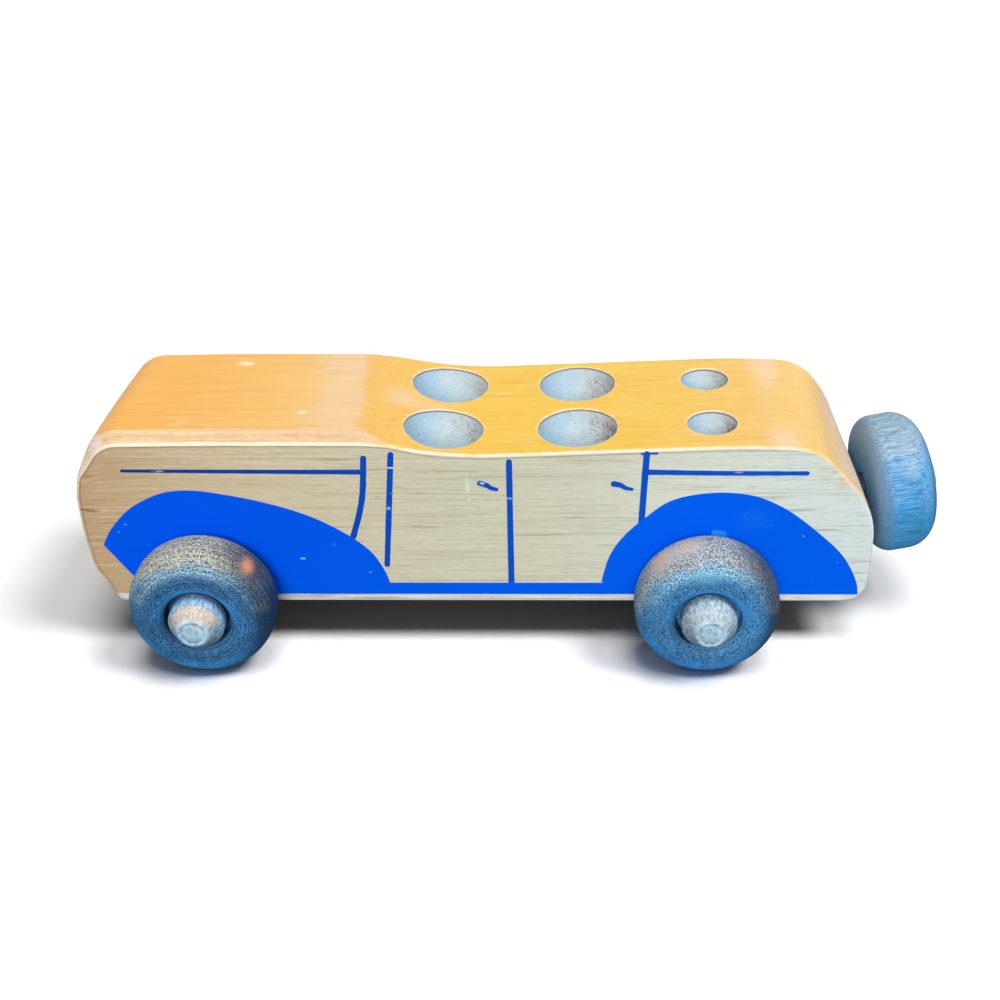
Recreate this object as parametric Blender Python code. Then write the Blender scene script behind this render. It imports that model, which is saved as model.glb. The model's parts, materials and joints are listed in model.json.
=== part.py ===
"""Wooden toy car: a shaped block with six drilled seats, four wheels on headed pegs and a spare on its tail.

Metres throughout. The car runs along X with its nose at -X, Z is up and the floor is z = 0, so the car's
left side faces -Y. Shapes are drawn from the nose (x = 0) and from the underside of the block (z = 0), and an
empty then carries the whole car to the middle of its own footprint.
"""

import math

import bmesh
import bpy
from mathutils import Vector

for old in list(bpy.data.objects):
    bpy.data.objects.remove(old, do_unlink=True)

# The block and the side outline it is sawn to
BODY_LENGTH = 0.2549
BODY_WIDTH = 0.0630
HOOD_HEIGHT = 0.0625
HOOD_LENGTH = 0.0869
HOOD_BEND_SETBACK = 0.0413
NOSE_TOP_HEIGHT = 0.0613
COWL_RUN = 0.0242
COWL_FOOT_HEIGHT = 0.05495
DECK_BEND_SETBACK = 0.2123
DECK_BEND_HEIGHT = 0.0590
DECK_REAR_HEIGHT = 0.0582
TAIL_RUN = 0.0205
TAIL_SLOPE_FOOT = 0.0346
NOSE_RAKE_RUN = 0.0075
NOSE_RAKE_HEIGHT = 0.0144

NOSE_FOOT_RADIUS = 0.0025
NOSE_RAKE_RADIUS = 0.0160
NOSE_TOP_RADIUS = 0.0180
HOOD_BEND_RADIUS = 0.6000
CREST_RADIUS = 0.0100
COWL_FOOT_RADIUS = 0.1360
DECK_BEND_RADIUS = 0.2500
TAIL_TOP_RADIUS = 0.0185
TAIL_SLOPE_RADIUS = 0.0310
TAIL_BOTTOM_RADIUS = 0.0080

# The side edges: a broad bevel along the hood that dies away down the nose, and a slight rounding elsewhere.
# A fullness of 1 is a flat bevel and of 2 a round edge.
EDGE_ROUND = 0.0010
HOOD_BEVEL_DEPTH = 0.0034
HOOD_BEVEL_WIDTH = 0.0049
BEVEL_FULLNESS = 1.15
ROUND_FULLNESS = 2.0
NOSE_FADE_START = 0.0100
NOSE_FADE_END = 0.0210
EDGE_STEPS = 3

# Seats drilled into the deck in three pairs, the rear pair smaller
MIDDLE_SEAT_SETBACK = 0.1593
SEAT_PITCH = 0.0430
SEAT_ROW_OFFSET = 0.0154
SEAT_DIAMETER = 0.0254
SEAT_DEPTH = 0.0260
CHILD_SEAT_DIAMETER = 0.0159
CHILD_SEAT_DEPTH = 0.0190
SEAT_SIDES = 32

# Wheels
WHEEL_DIAMETER = 0.0470
WHEEL_WIDTH = 0.0205
TYRE_OUTER_ROUND = 0.0090
TYRE_INNER_ROUND = 0.0075
TYRE_STEPS = 4
DISH_DIAMETER = 0.0213
DISH_DEPTH = 0.0066
DISH_LIP_DROP = 0.0012
WHEEL_SIDES = 36
FRONT_AXLE_SETBACK = 0.0384
WHEELBASE = 0.1626
AXLE_HEIGHT = 0.0065
WHEEL_GAP = 0.0007

# Headed pegs that the wheels turn on
PEG_SHANK_DIAMETER = 0.0087
PEG_INSERT = 0.0220
PEG_END_CHAMFER = 0.0008
PEG_HEAD_DIAMETER = 0.0178
PEG_RIM_LENGTH = 0.0049
PEG_CROWN_HEIGHT = 0.0049
PEG_CROWN_BULGE = 0.0007
PEG_TIP_DIAMETER = 0.0099
PEG_SIDES = 20
HEAD_PLAY = 0.0028
BORE_CLEARANCE = 0.0003
BORE_END_CLEARANCE = 0.0005
RUNNING_CLEARANCE = 0.0004

# Spare wheel, carried on a peg that leans up and a little to the car's right
SPARE_HEIGHT = 0.0253
SPARE_TILT = math.radians(7.8)
SPARE_SKEW = math.radians(6.0)
SPARE_GAP = 0.0021
SPARE_HEAD_PLAY = 0.0004

CUT_MARGIN = 0.0050
STRAIGHT_SHARE = 0.98
WHEEL_BORE_DIAMETER = PEG_SHANK_DIAMETER + 2 * RUNNING_CLEARANCE
WHEEL_BORE_LENGTH = WHEEL_WIDTH - DISH_DEPTH
PEG_SHANK_LENGTH = PEG_INSERT + WHEEL_GAP + WHEEL_BORE_LENGTH + HEAD_PLAY
AXLE_SETBACKS = {"front": FRONT_AXLE_SETBACK, "rear": FRONT_AXLE_SETBACK + WHEELBASE}
SIDES = {"left": -1, "right": 1}


def half_angle_at(before, corner, after):
    """Half the angle between the two straights that meet at a corner."""
    return (before - corner).angle(after - corner) / 2


def corner_arc(before, corner, after, reach, steps):
    """The points of a corner rounded off, from a reach back along one straight to the same along the next."""
    to_before = (before - corner).normalized()
    to_after = (after - corner).normalized()
    half_angle = half_angle_at(before, corner, after)
    start = corner + to_before * reach
    end = corner + to_after * reach
    centre = corner + (to_before + to_after).normalized() * reach / math.cos(half_angle)
    turn = (start - centre).angle_signed(end - centre)
    spoke = start - centre
    points = []
    for step in range(steps + 1):
        angle = -turn * step / steps
        cos, sin = math.cos(angle), math.sin(angle)
        points.append(centre + Vector((spoke.x * cos - spoke.y * sin, spoke.x * sin + spoke.y * cos)))
    return points


def rounded(corners):
    """A closed outline through corners given as (along, up, radius, steps of its arc).

    Two arcs that want more of a straight than there is share it in proportion.
    """
    points = [Vector(corner[:2]) for corner in corners]
    count = len(points)
    wanted = []
    for index, (_, _, radius, _) in enumerate(corners):
        half_angle = half_angle_at(points[index - 1], points[index], points[(index + 1) % count])
        wanted.append(radius / math.tan(half_angle))
    reaches = list(wanted)
    for index in range(count):
        length = (points[index] - points[index - 1]).length
        share = min(1, STRAIGHT_SHARE * length / (wanted[index] + wanted[index - 1]))
        for end in (index - 1, index):
            reaches[end] = min(reaches[end], wanted[end] * share)
    outline = []
    for index, (_, _, _, steps) in enumerate(corners):
        after = points[(index + 1) % count]
        outline += corner_arc(points[index - 1], points[index], after, reaches[index], steps)
    return outline


def body_outline():
    """The block's side view, from the foot of the nose up, over the deck and down the tail."""
    return rounded([
        (NOSE_RAKE_RUN, 0, NOSE_FOOT_RADIUS, 2),
        (0, NOSE_RAKE_HEIGHT, NOSE_RAKE_RADIUS, 3),
        (0, NOSE_TOP_HEIGHT, NOSE_TOP_RADIUS, 8),
        (HOOD_BEND_SETBACK, HOOD_HEIGHT, HOOD_BEND_RADIUS, 2),
        (HOOD_LENGTH, HOOD_HEIGHT, CREST_RADIUS, 3),
        (HOOD_LENGTH + COWL_RUN, COWL_FOOT_HEIGHT, COWL_FOOT_RADIUS, 8),
        (DECK_BEND_SETBACK, DECK_BEND_HEIGHT, DECK_BEND_RADIUS, 3),
        (BODY_LENGTH - TAIL_RUN, DECK_REAR_HEIGHT, TAIL_TOP_RADIUS, 6),
        (BODY_LENGTH, TAIL_SLOPE_FOOT, TAIL_SLOPE_RADIUS, 5),
        (BODY_LENGTH, 0, TAIL_BOTTOM_RADIUS, 4),
    ])


def outline_crossing(axis, value, wanted):
    """Where the outline crosses a value on one axis: the greatest, or least, reading on the other axis."""
    other = 1 - axis
    found = []
    outline = body_outline()
    for start, end in zip(outline, outline[1:] + outline[:1]):
        low, high = sorted((start[axis], end[axis]))
        if low <= value <= high and high > low:
            share = (value - start[axis]) / (end[axis] - start[axis])
            found.append(start[other] + share * (end[other] - start[other]))
    return wanted(found)


def edge_cut(point):
    """The depth, the width and the fullness of the side edge at a point of the outline.

    The hood's edge was bevelled first and the deck then cut below it, so the bevel runs out where the cowl
    drops. Down the nose it was eased away by hand.
    """
    drop = HOOD_HEIGHT - point.y
    if point.x < HOOD_LENGTH / 2:
        fade = min(max((drop - NOSE_FADE_START) / (NOSE_FADE_END - NOSE_FADE_START), 0), 1)
        share = 1 - fade * fade * (3 - 2 * fade)
    else:
        share = max(1 - drop / HOOD_BEVEL_DEPTH, 0)
    depth = max(EDGE_ROUND, HOOD_BEVEL_DEPTH * share)
    width = max(EDGE_ROUND, HOOD_BEVEL_WIDTH * share)
    return depth, width, ROUND_FULLNESS + (BEVEL_FULLNESS - ROUND_FULLNESS) * share


def material(name, colour, roughness):
    made = bpy.data.materials.new(name)
    made.use_nodes = True
    shader = made.node_tree.nodes["Principled BSDF"]
    shader.inputs["Base Color"].default_value = (*colour, 1)
    shader.inputs["Roughness"].default_value = roughness
    shader.inputs["Metallic"].default_value = 0
    return made


def mesh_from(bm, name, finish):
    """A finished mesh with its faces pointing outwards and its round surfaces shaded smooth."""
    bmesh.ops.recalc_face_normals(bm, faces=bm.faces)
    mesh = bpy.data.meshes.new(name)
    bm.to_mesh(mesh)
    bm.free()
    if finish:
        mesh.materials.append(finish)
    mesh.shade_smooth()
    mesh.set_sharp_from_angle(angle=math.radians(35))
    return mesh


def place(name, mesh, location=(0, 0, 0), rotation=(0, 0, 0)):
    """An object on the car, at a place measured from the nose and the underside."""
    piece = bpy.data.objects.new(name, mesh)
    piece.parent = car
    piece.location = location
    piece.rotation_euler = rotation
    bpy.context.scene.collection.objects.link(piece)
    return piece


def body_block_mesh():
    """The block: rings of the outline stand across its width, and the outer ones draw in round the edges."""
    outline = body_outline()
    inward = []
    for index, point in enumerate(outline):
        along = outline[(index + 1) % len(outline)] - outline[index - 1]
        inward.append(Vector((along.y, -along.x)).normalized())
    bm = bmesh.new()
    rings = []
    for side in (-1, 1):
        steps = range(EDGE_STEPS + 1) if side < 0 else range(EDGE_STEPS, -1, -1)
        for step in steps:
            angle = math.pi / 2 * step / EDGE_STEPS
            ring = []
            for point, normal in zip(outline, inward):
                depth, width, fullness = edge_cut(point)
                drawn = point + normal * depth * (1 - math.sin(angle) ** (2 / fullness))
                across = side * (BODY_WIDTH / 2 - width * (1 - abs(math.cos(angle)) ** (2 / fullness)))
                ring.append(bm.verts.new((drawn.x, across, drawn.y)))
            rings.append(ring)
    for first, second in zip(rings, rings[1:]):
        for index in range(len(outline)):
            bm.faces.new((first[index - 1], first[index], second[index], second[index - 1]))
    bm.faces.new(rings[0])
    bm.faces.new(rings[-1])
    return mesh_from(bm, "body_block", material("maple", (0.60, 0.46, 0.26), 0.55))


def turned(bm, profile, sides):
    """Spins a profile of (radius, height) points about Z, with a flat of the many-sided turning at -Y."""
    start = math.pi / sides
    verts = [bm.verts.new((radius * math.cos(start), radius * math.sin(start), height)) for radius, height in profile]
    edges = [bm.edges.new(pair) for pair in zip(verts, verts[1:])]
    if profile[0][0] > 0:
        edges.append(bm.edges.new((verts[-1], verts[0])))
    bmesh.ops.spin(
        bm, geom=verts + edges, cent=(0, 0, 0), axis=(0, 0, 1), angle=2 * math.pi, steps=sides, use_merge=True
    )
    bmesh.ops.remove_doubles(bm, verts=bm.verts, dist=1e-6)


def quarter_round(centre, radius, start_angle, steps):
    """Points of a quarter turn about a centre, in a profile of (radius, height)."""
    points = []
    for step in range(steps + 1):
        angle = start_angle + math.pi / 2 * step / steps
        points.append((centre[0] + radius * math.cos(angle), centre[1] + radius * math.sin(angle)))
    return points


def wheel_mesh():
    """A wheel about Z, its outer face up and its middle at the origin."""
    rim = WHEEL_DIAMETER / 2
    face = WHEEL_WIDTH / 2
    floor = face - DISH_DEPTH
    profile = [(WHEEL_BORE_DIAMETER / 2, -face)]
    inner = (rim - TYRE_INNER_ROUND, TYRE_INNER_ROUND - face)
    profile += quarter_round(inner, TYRE_INNER_ROUND, -math.pi / 2, TYRE_STEPS)
    outer = (rim - TYRE_OUTER_ROUND, face - TYRE_OUTER_ROUND)
    profile += quarter_round(outer, TYRE_OUTER_ROUND, 0, TYRE_STEPS)
    profile.append((DISH_DIAMETER / 2, face - DISH_LIP_DROP))
    profile.append((DISH_DIAMETER / 2, floor))
    profile.append((WHEEL_BORE_DIAMETER / 2, floor))
    bm = bmesh.new()
    turned(bm, profile, WHEEL_SIDES)
    return mesh_from(bm, "wheel", material("blue_stain", (0.07, 0.17, 0.32), 0.6))


def peg_mesh():
    """A peg about Z: its head's underside at the origin, its shank below and its crown above."""
    shank = PEG_SHANK_DIAMETER / 2
    head = PEG_HEAD_DIAMETER / 2
    tip = PEG_TIP_DIAMETER / 2
    top = PEG_RIM_LENGTH + PEG_CROWN_HEIGHT
    profile = [
        (0, -PEG_SHANK_LENGTH),
        (shank - PEG_END_CHAMFER, -PEG_SHANK_LENGTH),
        (shank, PEG_END_CHAMFER - PEG_SHANK_LENGTH),
        (shank, 0),
        (head, 0),
        (head, PEG_RIM_LENGTH),
        ((head + tip) / 2 + PEG_CROWN_BULGE, PEG_RIM_LENGTH + PEG_CROWN_HEIGHT / 2 + PEG_CROWN_BULGE),
        (tip, top),
        (0, top),
    ]
    bm = bmesh.new()
    turned(bm, profile, PEG_SIDES)
    return mesh_from(bm, "axle_peg", material("bare_birch", (0.42, 0.46, 0.46), 0.6))


def drill(name, holes, sides):
    """A cutter for the block with a drill for each hole, given as its mouth, its inward direction and sizes."""
    bm = bmesh.new()
    for mouth, inward, diameter, depth in holes:
        inward = Vector(inward).normalized()
        middle = Vector(mouth) + inward * (depth - CUT_MARGIN) / 2
        turn = inward.to_track_quat("Z", "Y").to_matrix().to_4x4()
        turn.translation = middle
        radius = diameter / 2
        bmesh.ops.create_cone(
            bm, cap_ends=True, segments=sides, radius1=radius, radius2=radius, depth=depth + CUT_MARGIN, matrix=turn
        )
    cutter = place(name, mesh_from(bm, name, None))
    cutter.hide_render = True
    cutter.display_type = "WIRE"
    cut = body.modifiers.new(name, "BOOLEAN")
    cut.operation = "DIFFERENCE"
    cut.solver = "EXACT"
    cut.object = cutter


# Where the spare's peg enters the tail, and the way it points
spare_level = Vector((math.cos(SPARE_SKEW), math.sin(SPARE_SKEW), 0)) * math.cos(SPARE_TILT)
spare_axis = spare_level + Vector((0, 0, math.sin(SPARE_TILT)))
spare_mouth = Vector((outline_crossing(1, SPARE_HEIGHT, max), 0, SPARE_HEIGHT))
spare_middle = spare_mouth + spare_axis * (SPARE_GAP + WHEEL_WIDTH / 2)
spare_head = spare_mouth + spare_axis * (SPARE_GAP + WHEEL_BORE_LENGTH + SPARE_HEAD_PLAY)
spare_insert = PEG_SHANK_LENGTH - SPARE_GAP - WHEEL_BORE_LENGTH - SPARE_HEAD_PLAY

# The empty that carries the car to the middle of its footprint, with its wheels on the floor
crown_tip = spare_head + spare_axis * (PEG_RIM_LENGTH + PEG_CROWN_HEIGHT)
spare_lean = math.sqrt(1 - spare_axis.x ** 2)
rearmost_peg = crown_tip.x + PEG_TIP_DIAMETER / 2 * spare_lean
tyre_reach = (WHEEL_WIDTH / 2 - TYRE_OUTER_ROUND) * spare_axis.x + TYRE_OUTER_ROUND
tyre_reach += (WHEEL_DIAMETER / 2 - TYRE_OUTER_ROUND) * spare_lean
rearmost = max(rearmost_peg, spare_middle.x + tyre_reach, BODY_LENGTH)
wheel_flat = WHEEL_DIAMETER / 2 * math.cos(math.pi / WHEEL_SIDES)
car = bpy.data.objects.new("car", None)
car.location = (-rearmost / 2, 0, wheel_flat - AXLE_HEIGHT)
bpy.context.scene.collection.objects.link(car)

body = place("body_block", body_block_mesh())

seats = []
for row, (diameter, depth) in zip((-1, 0, 1), (
    (SEAT_DIAMETER, SEAT_DEPTH),
    (SEAT_DIAMETER, SEAT_DEPTH),
    (CHILD_SEAT_DIAMETER, CHILD_SEAT_DEPTH),
)):
    setback = MIDDLE_SEAT_SETBACK + row * SEAT_PITCH
    deck = outline_crossing(0, setback, max)
    for side in SIDES.values():
        seats.append(((setback, side * SEAT_ROW_OFFSET, deck), (0, 0, -1), diameter, depth))
drill("seat_drills", seats, SEAT_SIDES)

bore = PEG_SHANK_DIAMETER + 2 * BORE_CLEARANCE
bores = [(spare_mouth, -spare_axis, bore, spare_insert + BORE_END_CLEARANCE)]
for setback in AXLE_SETBACKS.values():
    for side in SIDES.values():
        mouth = (setback, side * BODY_WIDTH / 2, AXLE_HEIGHT)
        bores.append((mouth, (0, -side, 0), bore, PEG_INSERT + BORE_END_CLEARANCE))
drill("peg_drills", bores, PEG_SIDES)

wheel = wheel_mesh()
peg = peg_mesh()
wheel_across = BODY_WIDTH / 2 + WHEEL_GAP + WHEEL_WIDTH / 2
head_across = BODY_WIDTH / 2 + WHEEL_GAP + WHEEL_BORE_LENGTH + HEAD_PLAY
for end, setback in AXLE_SETBACKS.items():
    for hand, side in SIDES.items():
        outward = (-side * math.pi / 2, 0, 0)
        place(f"{end}_{hand}_wheel", wheel, (setback, side * wheel_across, AXLE_HEIGHT), outward)
        place(f"{end}_{hand}_axle_peg", peg, (setback, side * head_across, AXLE_HEIGHT), outward)
spare_turn = spare_axis.to_track_quat("Z", "Y").to_euler()
place("spare_wheel", wheel, spare_middle, spare_turn)
place("spare_wheel_peg", peg, spare_head, spare_turn)
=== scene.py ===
# %% [markdown]
# # Dressing a wooden toy car
#
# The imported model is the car's skeleton: a sawn block, five turned wheels and five headed pegs, each a plain
# many-sided solid at its real size. This lesson lays the real surfaces over it, one piece at a time. It begins by
# loading that skeleton, because every size and place below is read from it or measured from the block's nose and
# underside, in millimetres.

# %% Load the frame
import json
import math

import bmesh
import bpy
from mathutils import Matrix, Vector, noise


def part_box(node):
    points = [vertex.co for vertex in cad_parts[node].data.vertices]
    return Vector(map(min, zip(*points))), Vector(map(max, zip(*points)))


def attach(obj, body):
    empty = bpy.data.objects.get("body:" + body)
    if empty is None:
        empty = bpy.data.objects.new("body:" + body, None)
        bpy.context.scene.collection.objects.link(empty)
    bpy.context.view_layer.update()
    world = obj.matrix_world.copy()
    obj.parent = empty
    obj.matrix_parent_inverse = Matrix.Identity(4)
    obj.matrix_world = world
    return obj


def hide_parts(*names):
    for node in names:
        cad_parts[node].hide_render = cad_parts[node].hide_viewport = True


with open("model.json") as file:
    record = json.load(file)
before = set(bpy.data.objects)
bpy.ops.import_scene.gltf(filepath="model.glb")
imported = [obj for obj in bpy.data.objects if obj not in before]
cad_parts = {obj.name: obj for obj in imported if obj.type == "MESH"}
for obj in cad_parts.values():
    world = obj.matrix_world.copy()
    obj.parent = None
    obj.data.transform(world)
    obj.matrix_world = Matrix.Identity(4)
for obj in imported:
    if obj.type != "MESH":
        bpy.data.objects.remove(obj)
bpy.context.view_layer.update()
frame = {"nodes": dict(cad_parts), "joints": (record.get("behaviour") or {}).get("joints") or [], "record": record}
MM = 0.001

# %% [markdown]
# ## The camera
#
# The photograph was taken from a little above, almost square to the car's left side, and then cropped off centre.
# A crop does not move the camera, so it is not copied by turning it: the lens is shifted sideways instead, which
# keeps upright lines as upright as they are in the picture.

# %% Place the camera
CAMERA_PLACE = (0.01579, -0.39950, 0.28493)
CAMERA_PITCH = 0.55715
CAMERA_YAW = -0.00867
CAMERA_ROLL = -0.00385
PHOTO_WIDTH_PX = 1000
FOCAL_LENGTH_PX = 1366.06
LENS_CENTRE_PX = (558.8, 501.7)
SENSOR_MM = 36

camera_data = bpy.data.cameras.new("photo_camera")
camera_data.sensor_width = SENSOR_MM
camera_data.lens = FOCAL_LENGTH_PX * SENSOR_MM / PHOTO_WIDTH_PX
camera_data.shift_x = 0.5 - LENS_CENTRE_PX[0] / PHOTO_WIDTH_PX
camera_data.shift_y = LENS_CENTRE_PX[1] / PHOTO_WIDTH_PX - 0.5
camera_data.clip_start = 0.01
camera = bpy.data.objects.new("photo_camera", camera_data)
look = Vector((math.sin(CAMERA_YAW) * math.cos(CAMERA_PITCH),
               math.cos(CAMERA_YAW) * math.cos(CAMERA_PITCH),
               -math.sin(CAMERA_PITCH)))
level = look.to_track_quat("-Z", "Y").to_matrix().to_4x4()
camera.matrix_world = Matrix.Translation(CAMERA_PLACE) @ level @ Matrix.Rotation(CAMERA_ROLL, 4, "Z")
bpy.context.scene.collection.objects.link(camera)
bpy.context.scene.camera = camera
bpy.context.scene.view_settings.view_transform = "Standard"
print("lens in mm:", round(camera_data.lens, 2), "shift:", round(camera_data.shift_x, 4))

# %% [markdown]
# ## A small kit for nodes
#
# The sky and every finish below are trees of nodes. Written out in full, each node takes four or five lines, which
# hides the recipe. This kit makes one node a line: a socket given another node's output is linked, and a socket given
# a number or a colour is set. Tones are written as an eye reads them, from 0 to 255.

# %% Node helpers


def srgb(red, green, blue):
    """A colour as an eye reads it, 0 to 255, as the linear values that a shader takes."""
    linear = []
    for value in (red, green, blue):
        share = value / 255
        linear.append(share / 12.92 if share <= 0.04045 else ((share + 0.055) / 1.055) ** 2.4)
    return (*linear, 1)


def add(tree, kind, sockets=None, **settings):
    """A shader node with its settings, and its sockets set or linked."""
    made = tree.nodes.new("ShaderNode" + kind)
    for name, value in settings.items():
        setattr(made, name, value)
    for name, value in (sockets or {}).items():
        if isinstance(value, bpy.types.NodeSocket):
            tree.links.new(value, made.inputs[name])
        else:
            made.inputs[name].default_value = value
    return made


def sum_of(tree, operation, first, second=0.0):
    """One step of arithmetic, as a socket."""
    return add(tree, "Math", {0: first, 1: second}, operation=operation).outputs[0]


def plus(tree, first, second):
    """Two values added."""
    return sum_of(tree, "ADD", first, second)


def times(tree, first, second):
    """Two values multiplied."""
    return sum_of(tree, "MULTIPLY", first, second)


def about_zero(tree, value):
    """Noise, which lies about a half, moved to lie about zero."""
    return sum_of(tree, "SUBTRACT", value, 0.5)


def stretched_noise(tree, place, stretch, detail=3.0, roughness=0.55):
    """Noise drawn out along some axes: a stretch is how many spots lie in a metre, along X, Y and Z."""
    mapped = add(tree, "Mapping", {"Vector": place, "Scale": stretch})
    return add(tree, "TexNoise", {"Vector": mapped.outputs[0], "Scale": 1.0, "Detail": detail,
                                  "Roughness": roughness}).outputs["Fac"]


def fade(tree, value, low, high, start=0.0, end=1.0):
    """Eases a value from start to end as it passes from low to high."""
    return add(tree, "MapRange", {"Value": value, "From Min": low, "From Max": high, "To Min": start, "To Max": end},
               interpolation_type="SMOOTHSTEP").outputs[0]


def fade_mm(tree, value, span_mm, start=0.0, end=1.0):
    """The same over a span in millimetres."""
    return fade(tree, value, span_mm[0] * MM, span_mm[1] * MM, start, end)


def blend_of(tree, share, first, second, blend_type="MIX"):
    """Two colours mixed by a share. Each colour is a tone or a socket, and the share a number or a socket."""
    mix = add(tree, "Mix", data_type="RGBA", blend_type=blend_type)
    for index, value in ((0, share), (6, first), (7, second)):
        if isinstance(value, bpy.types.NodeSocket):
            tree.links.new(value, mix.inputs[index])
        else:
            mix.inputs[index].default_value = srgb(*value) if index else value
    return mix.outputs[2]


def toned(tree, colour, *layers):
    """A colour with others laid over it, each as a value passes from low to high, up to a strength."""
    for value, low, high, strength, tone in layers:
        colour = blend_of(tree, fade(tree, value, low, high, 0.0, strength), colour, tone)
    return colour


def new_finish(name):
    """An empty material, with its tree and its Principled shader."""
    finish = bpy.data.materials.new(name)
    finish.use_nodes = True
    return finish, finish.node_tree, finish.node_tree.nodes["Principled BSDF"]


def surface(tree, shader, colour, roughness, relief, gloss):
    """Gives a shader its colour, roughness, gloss and relief, which has a height, a strength and a depth in mm."""
    height, strength, depth_mm = relief
    bump = add(tree, "Bump", {"Height": height, "Strength": strength, "Distance": depth_mm * MM})
    for name, socket in (("Base Color", colour), ("Roughness", roughness), ("Normal", bump.outputs[0])):
        tree.links.new(socket, shader.inputs[name])
    shader.inputs["Specular IOR Level"].default_value = gloss


print("middle grey as linear light:", round(srgb(128, 128, 128)[0], 3))

# %% [markdown]
# ## Light and floor
#
# The picture is a studio cut-out: white all round, with a dark pool of shadow under the car that trails off to the
# left. A sun lights the whole floor evenly and the width of its disc sets how soft a shadow's rim is, so suns stand
# in for soft boxes. Two share the key: one almost overhead makes the pool, and one from the right draws the trail.
# A third fills the side and the seats from the front. A weak fourth keeps the far side from going black, and makes no
# sheen on the top that it grazes. These two are kept off the floor by light linking, as a studio keeps a lamp off with
# a flag, so the shadow stays dark. The floor is whiter to the camera than to the car.

# %% Light the sky
SKY_STRENGTH = 0.06

world = bpy.data.worlds.new("studio_sky")
bpy.context.scene.world = world
world.use_nodes = True
sky = world.node_tree.nodes["Background"]
sky.inputs["Color"].default_value = (1, 1, 1, 1)
seen = add(world.node_tree, "LightPath")
mirrored = sum_of(world.node_tree, "MAXIMUM", seen.outputs["Is Glossy Ray"], seen.outputs["Is Transmission Ray"])
plain = sum_of(world.node_tree, "MAXIMUM", seen.outputs["Is Camera Ray"], mirrored)
world.node_tree.links.new(fade(world.node_tree, plain, 0, 1, SKY_STRENGTH, 1), sky.inputs["Strength"])
print("the sky's strength on the car:", SKY_STRENGTH)

# %% Hang the suns
TOP_SUN = (Vector((0.10, -0.18, 1.0)), 1.05, math.radians(27))
RIGHT_SUN = (Vector((0.64, -0.18, 1.0)), 1.30, math.radians(20))
FILL_SUN = (Vector((-0.10, -1.0, 0.60)), 2.10, math.radians(30))
FAR_SUN = (Vector((-0.10, 1.0, 0.03)), 0.80, math.radians(24))


def studio_sun(name, comes_from, strength, disc):
    """A sun that shines from a direction, with the width of its disc in the sky."""
    light = bpy.data.lights.new(name, "SUN")
    light.energy = strength
    light.angle = disc
    sun = bpy.data.objects.new(name, light)
    sun.rotation_euler = (-comes_from).to_track_quat("-Z", "Y").to_euler()
    bpy.context.scene.collection.objects.link(sun)
    return sun


studio_sun("top_sun", *TOP_SUN)
studio_sun("right_sun", *RIGHT_SUN)
fill_sun = studio_sun("fill_sun", *FILL_SUN)
far_sun = studio_sun("far_sun", *FAR_SUN)
far_sun.visible_glossy = False
print("studio ready with", len(bpy.data.lights), "suns")

# %% Lay the floor
FLOOR_SIZE_M = 12
FLOOR_WHITE = 0.26
FLOOR_SEEN_WHITE = 1.52

floor_finish, floor_tree, floor_shader = new_finish("white_floor")
looked_at = add(floor_tree, "LightPath").outputs["Is Camera Ray"]
whiteness = fade(floor_tree, looked_at, 0, 1, FLOOR_WHITE, FLOOR_SEEN_WHITE)
white = add(floor_tree, "CombineColor", {"Red": whiteness, "Green": whiteness, "Blue": whiteness})
floor_tree.links.new(white.outputs["Color"], floor_shader.inputs["Base Color"])
floor_shader.inputs["Roughness"].default_value = 1.0
floor_shader.inputs["Specular IOR Level"].default_value = 0.0
floor_bm = bmesh.new()
bmesh.ops.create_grid(floor_bm, x_segments=1, y_segments=1, size=FLOOR_SIZE_M / 2)
floor_mesh = bpy.data.meshes.new("floor")
floor_bm.to_mesh(floor_mesh)
floor_bm.free()
floor_mesh.materials.append(floor_finish)
floor = bpy.data.objects.new("floor", floor_mesh)
bpy.context.scene.collection.objects.link(floor)
flagged = bpy.data.collections.new("kept_from_fill")
flagged.objects.link(floor)
flagged.collection_objects[0].light_linking.link_state = "EXCLUDE"
for sun in (fill_sun, far_sun):
    sun.light_linking.receiver_collection = flagged
print("floor's width in metres:", FLOOR_SIZE_M)

# %% [markdown]
# ## The block's outline
#
# The body is one plank of maple, bandsawn to a side view and sanded. Its outline is a chain of straights with round
# corners, so it is written as corners with radii, from the foot of the nose up and over to the tail. The corners are
# then stepped round at an even spacing, which gives the surface its loops. The saw was not quite square: the cowl's
# crest lies a few millimetres further back on the left side, and on the right side the top of the nose is cut further
# back and the tail is steeper. So each point of a loop leans by an amount that depends on how far across it lies.

# %% Write down the corners
block_low, block_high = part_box("body_block")
HALF_WIDTH = (block_high.y - block_low.y) / 2
BODY_LENGTH_MM = (block_high.x - block_low.x) / MM
HOOD_HEIGHT_MM = (block_high.z - block_low.z) / MM
HOOD_LENGTH_MM = 86.9
COWL_FOOT_MM = HOOD_LENGTH_MM + 24.2
DECK_FOOT_MM = 54.95
OUTLINE_CORNERS_MM = (
    (7.5, 0, 2.5),
    (0.55, 13.6, 14),
    (-0.4, 27.0, 60),
    (-0.25, 40.0, 24),
    (1.5, 48.3, 16),
    (5.9, 57.9, 9),
    (11.75, 61.95, 12),
    (41.3, HOOD_HEIGHT_MM, 600),
    (HOOD_LENGTH_MM, HOOD_HEIGHT_MM, 9.9),
    (COWL_FOOT_MM, DECK_FOOT_MM, 134.6),
    (212.3, 59.0, 250),
    (BODY_LENGTH_MM - 20.5, 58.2, 18.5),
    (BODY_LENGTH_MM, 34.6, 31),
    (BODY_LENGTH_MM, 0, 8),
)
print("corners:", len(OUTLINE_CORNERS_MM), "on a body of", round(BODY_LENGTH_MM, 1), "mm")

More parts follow.
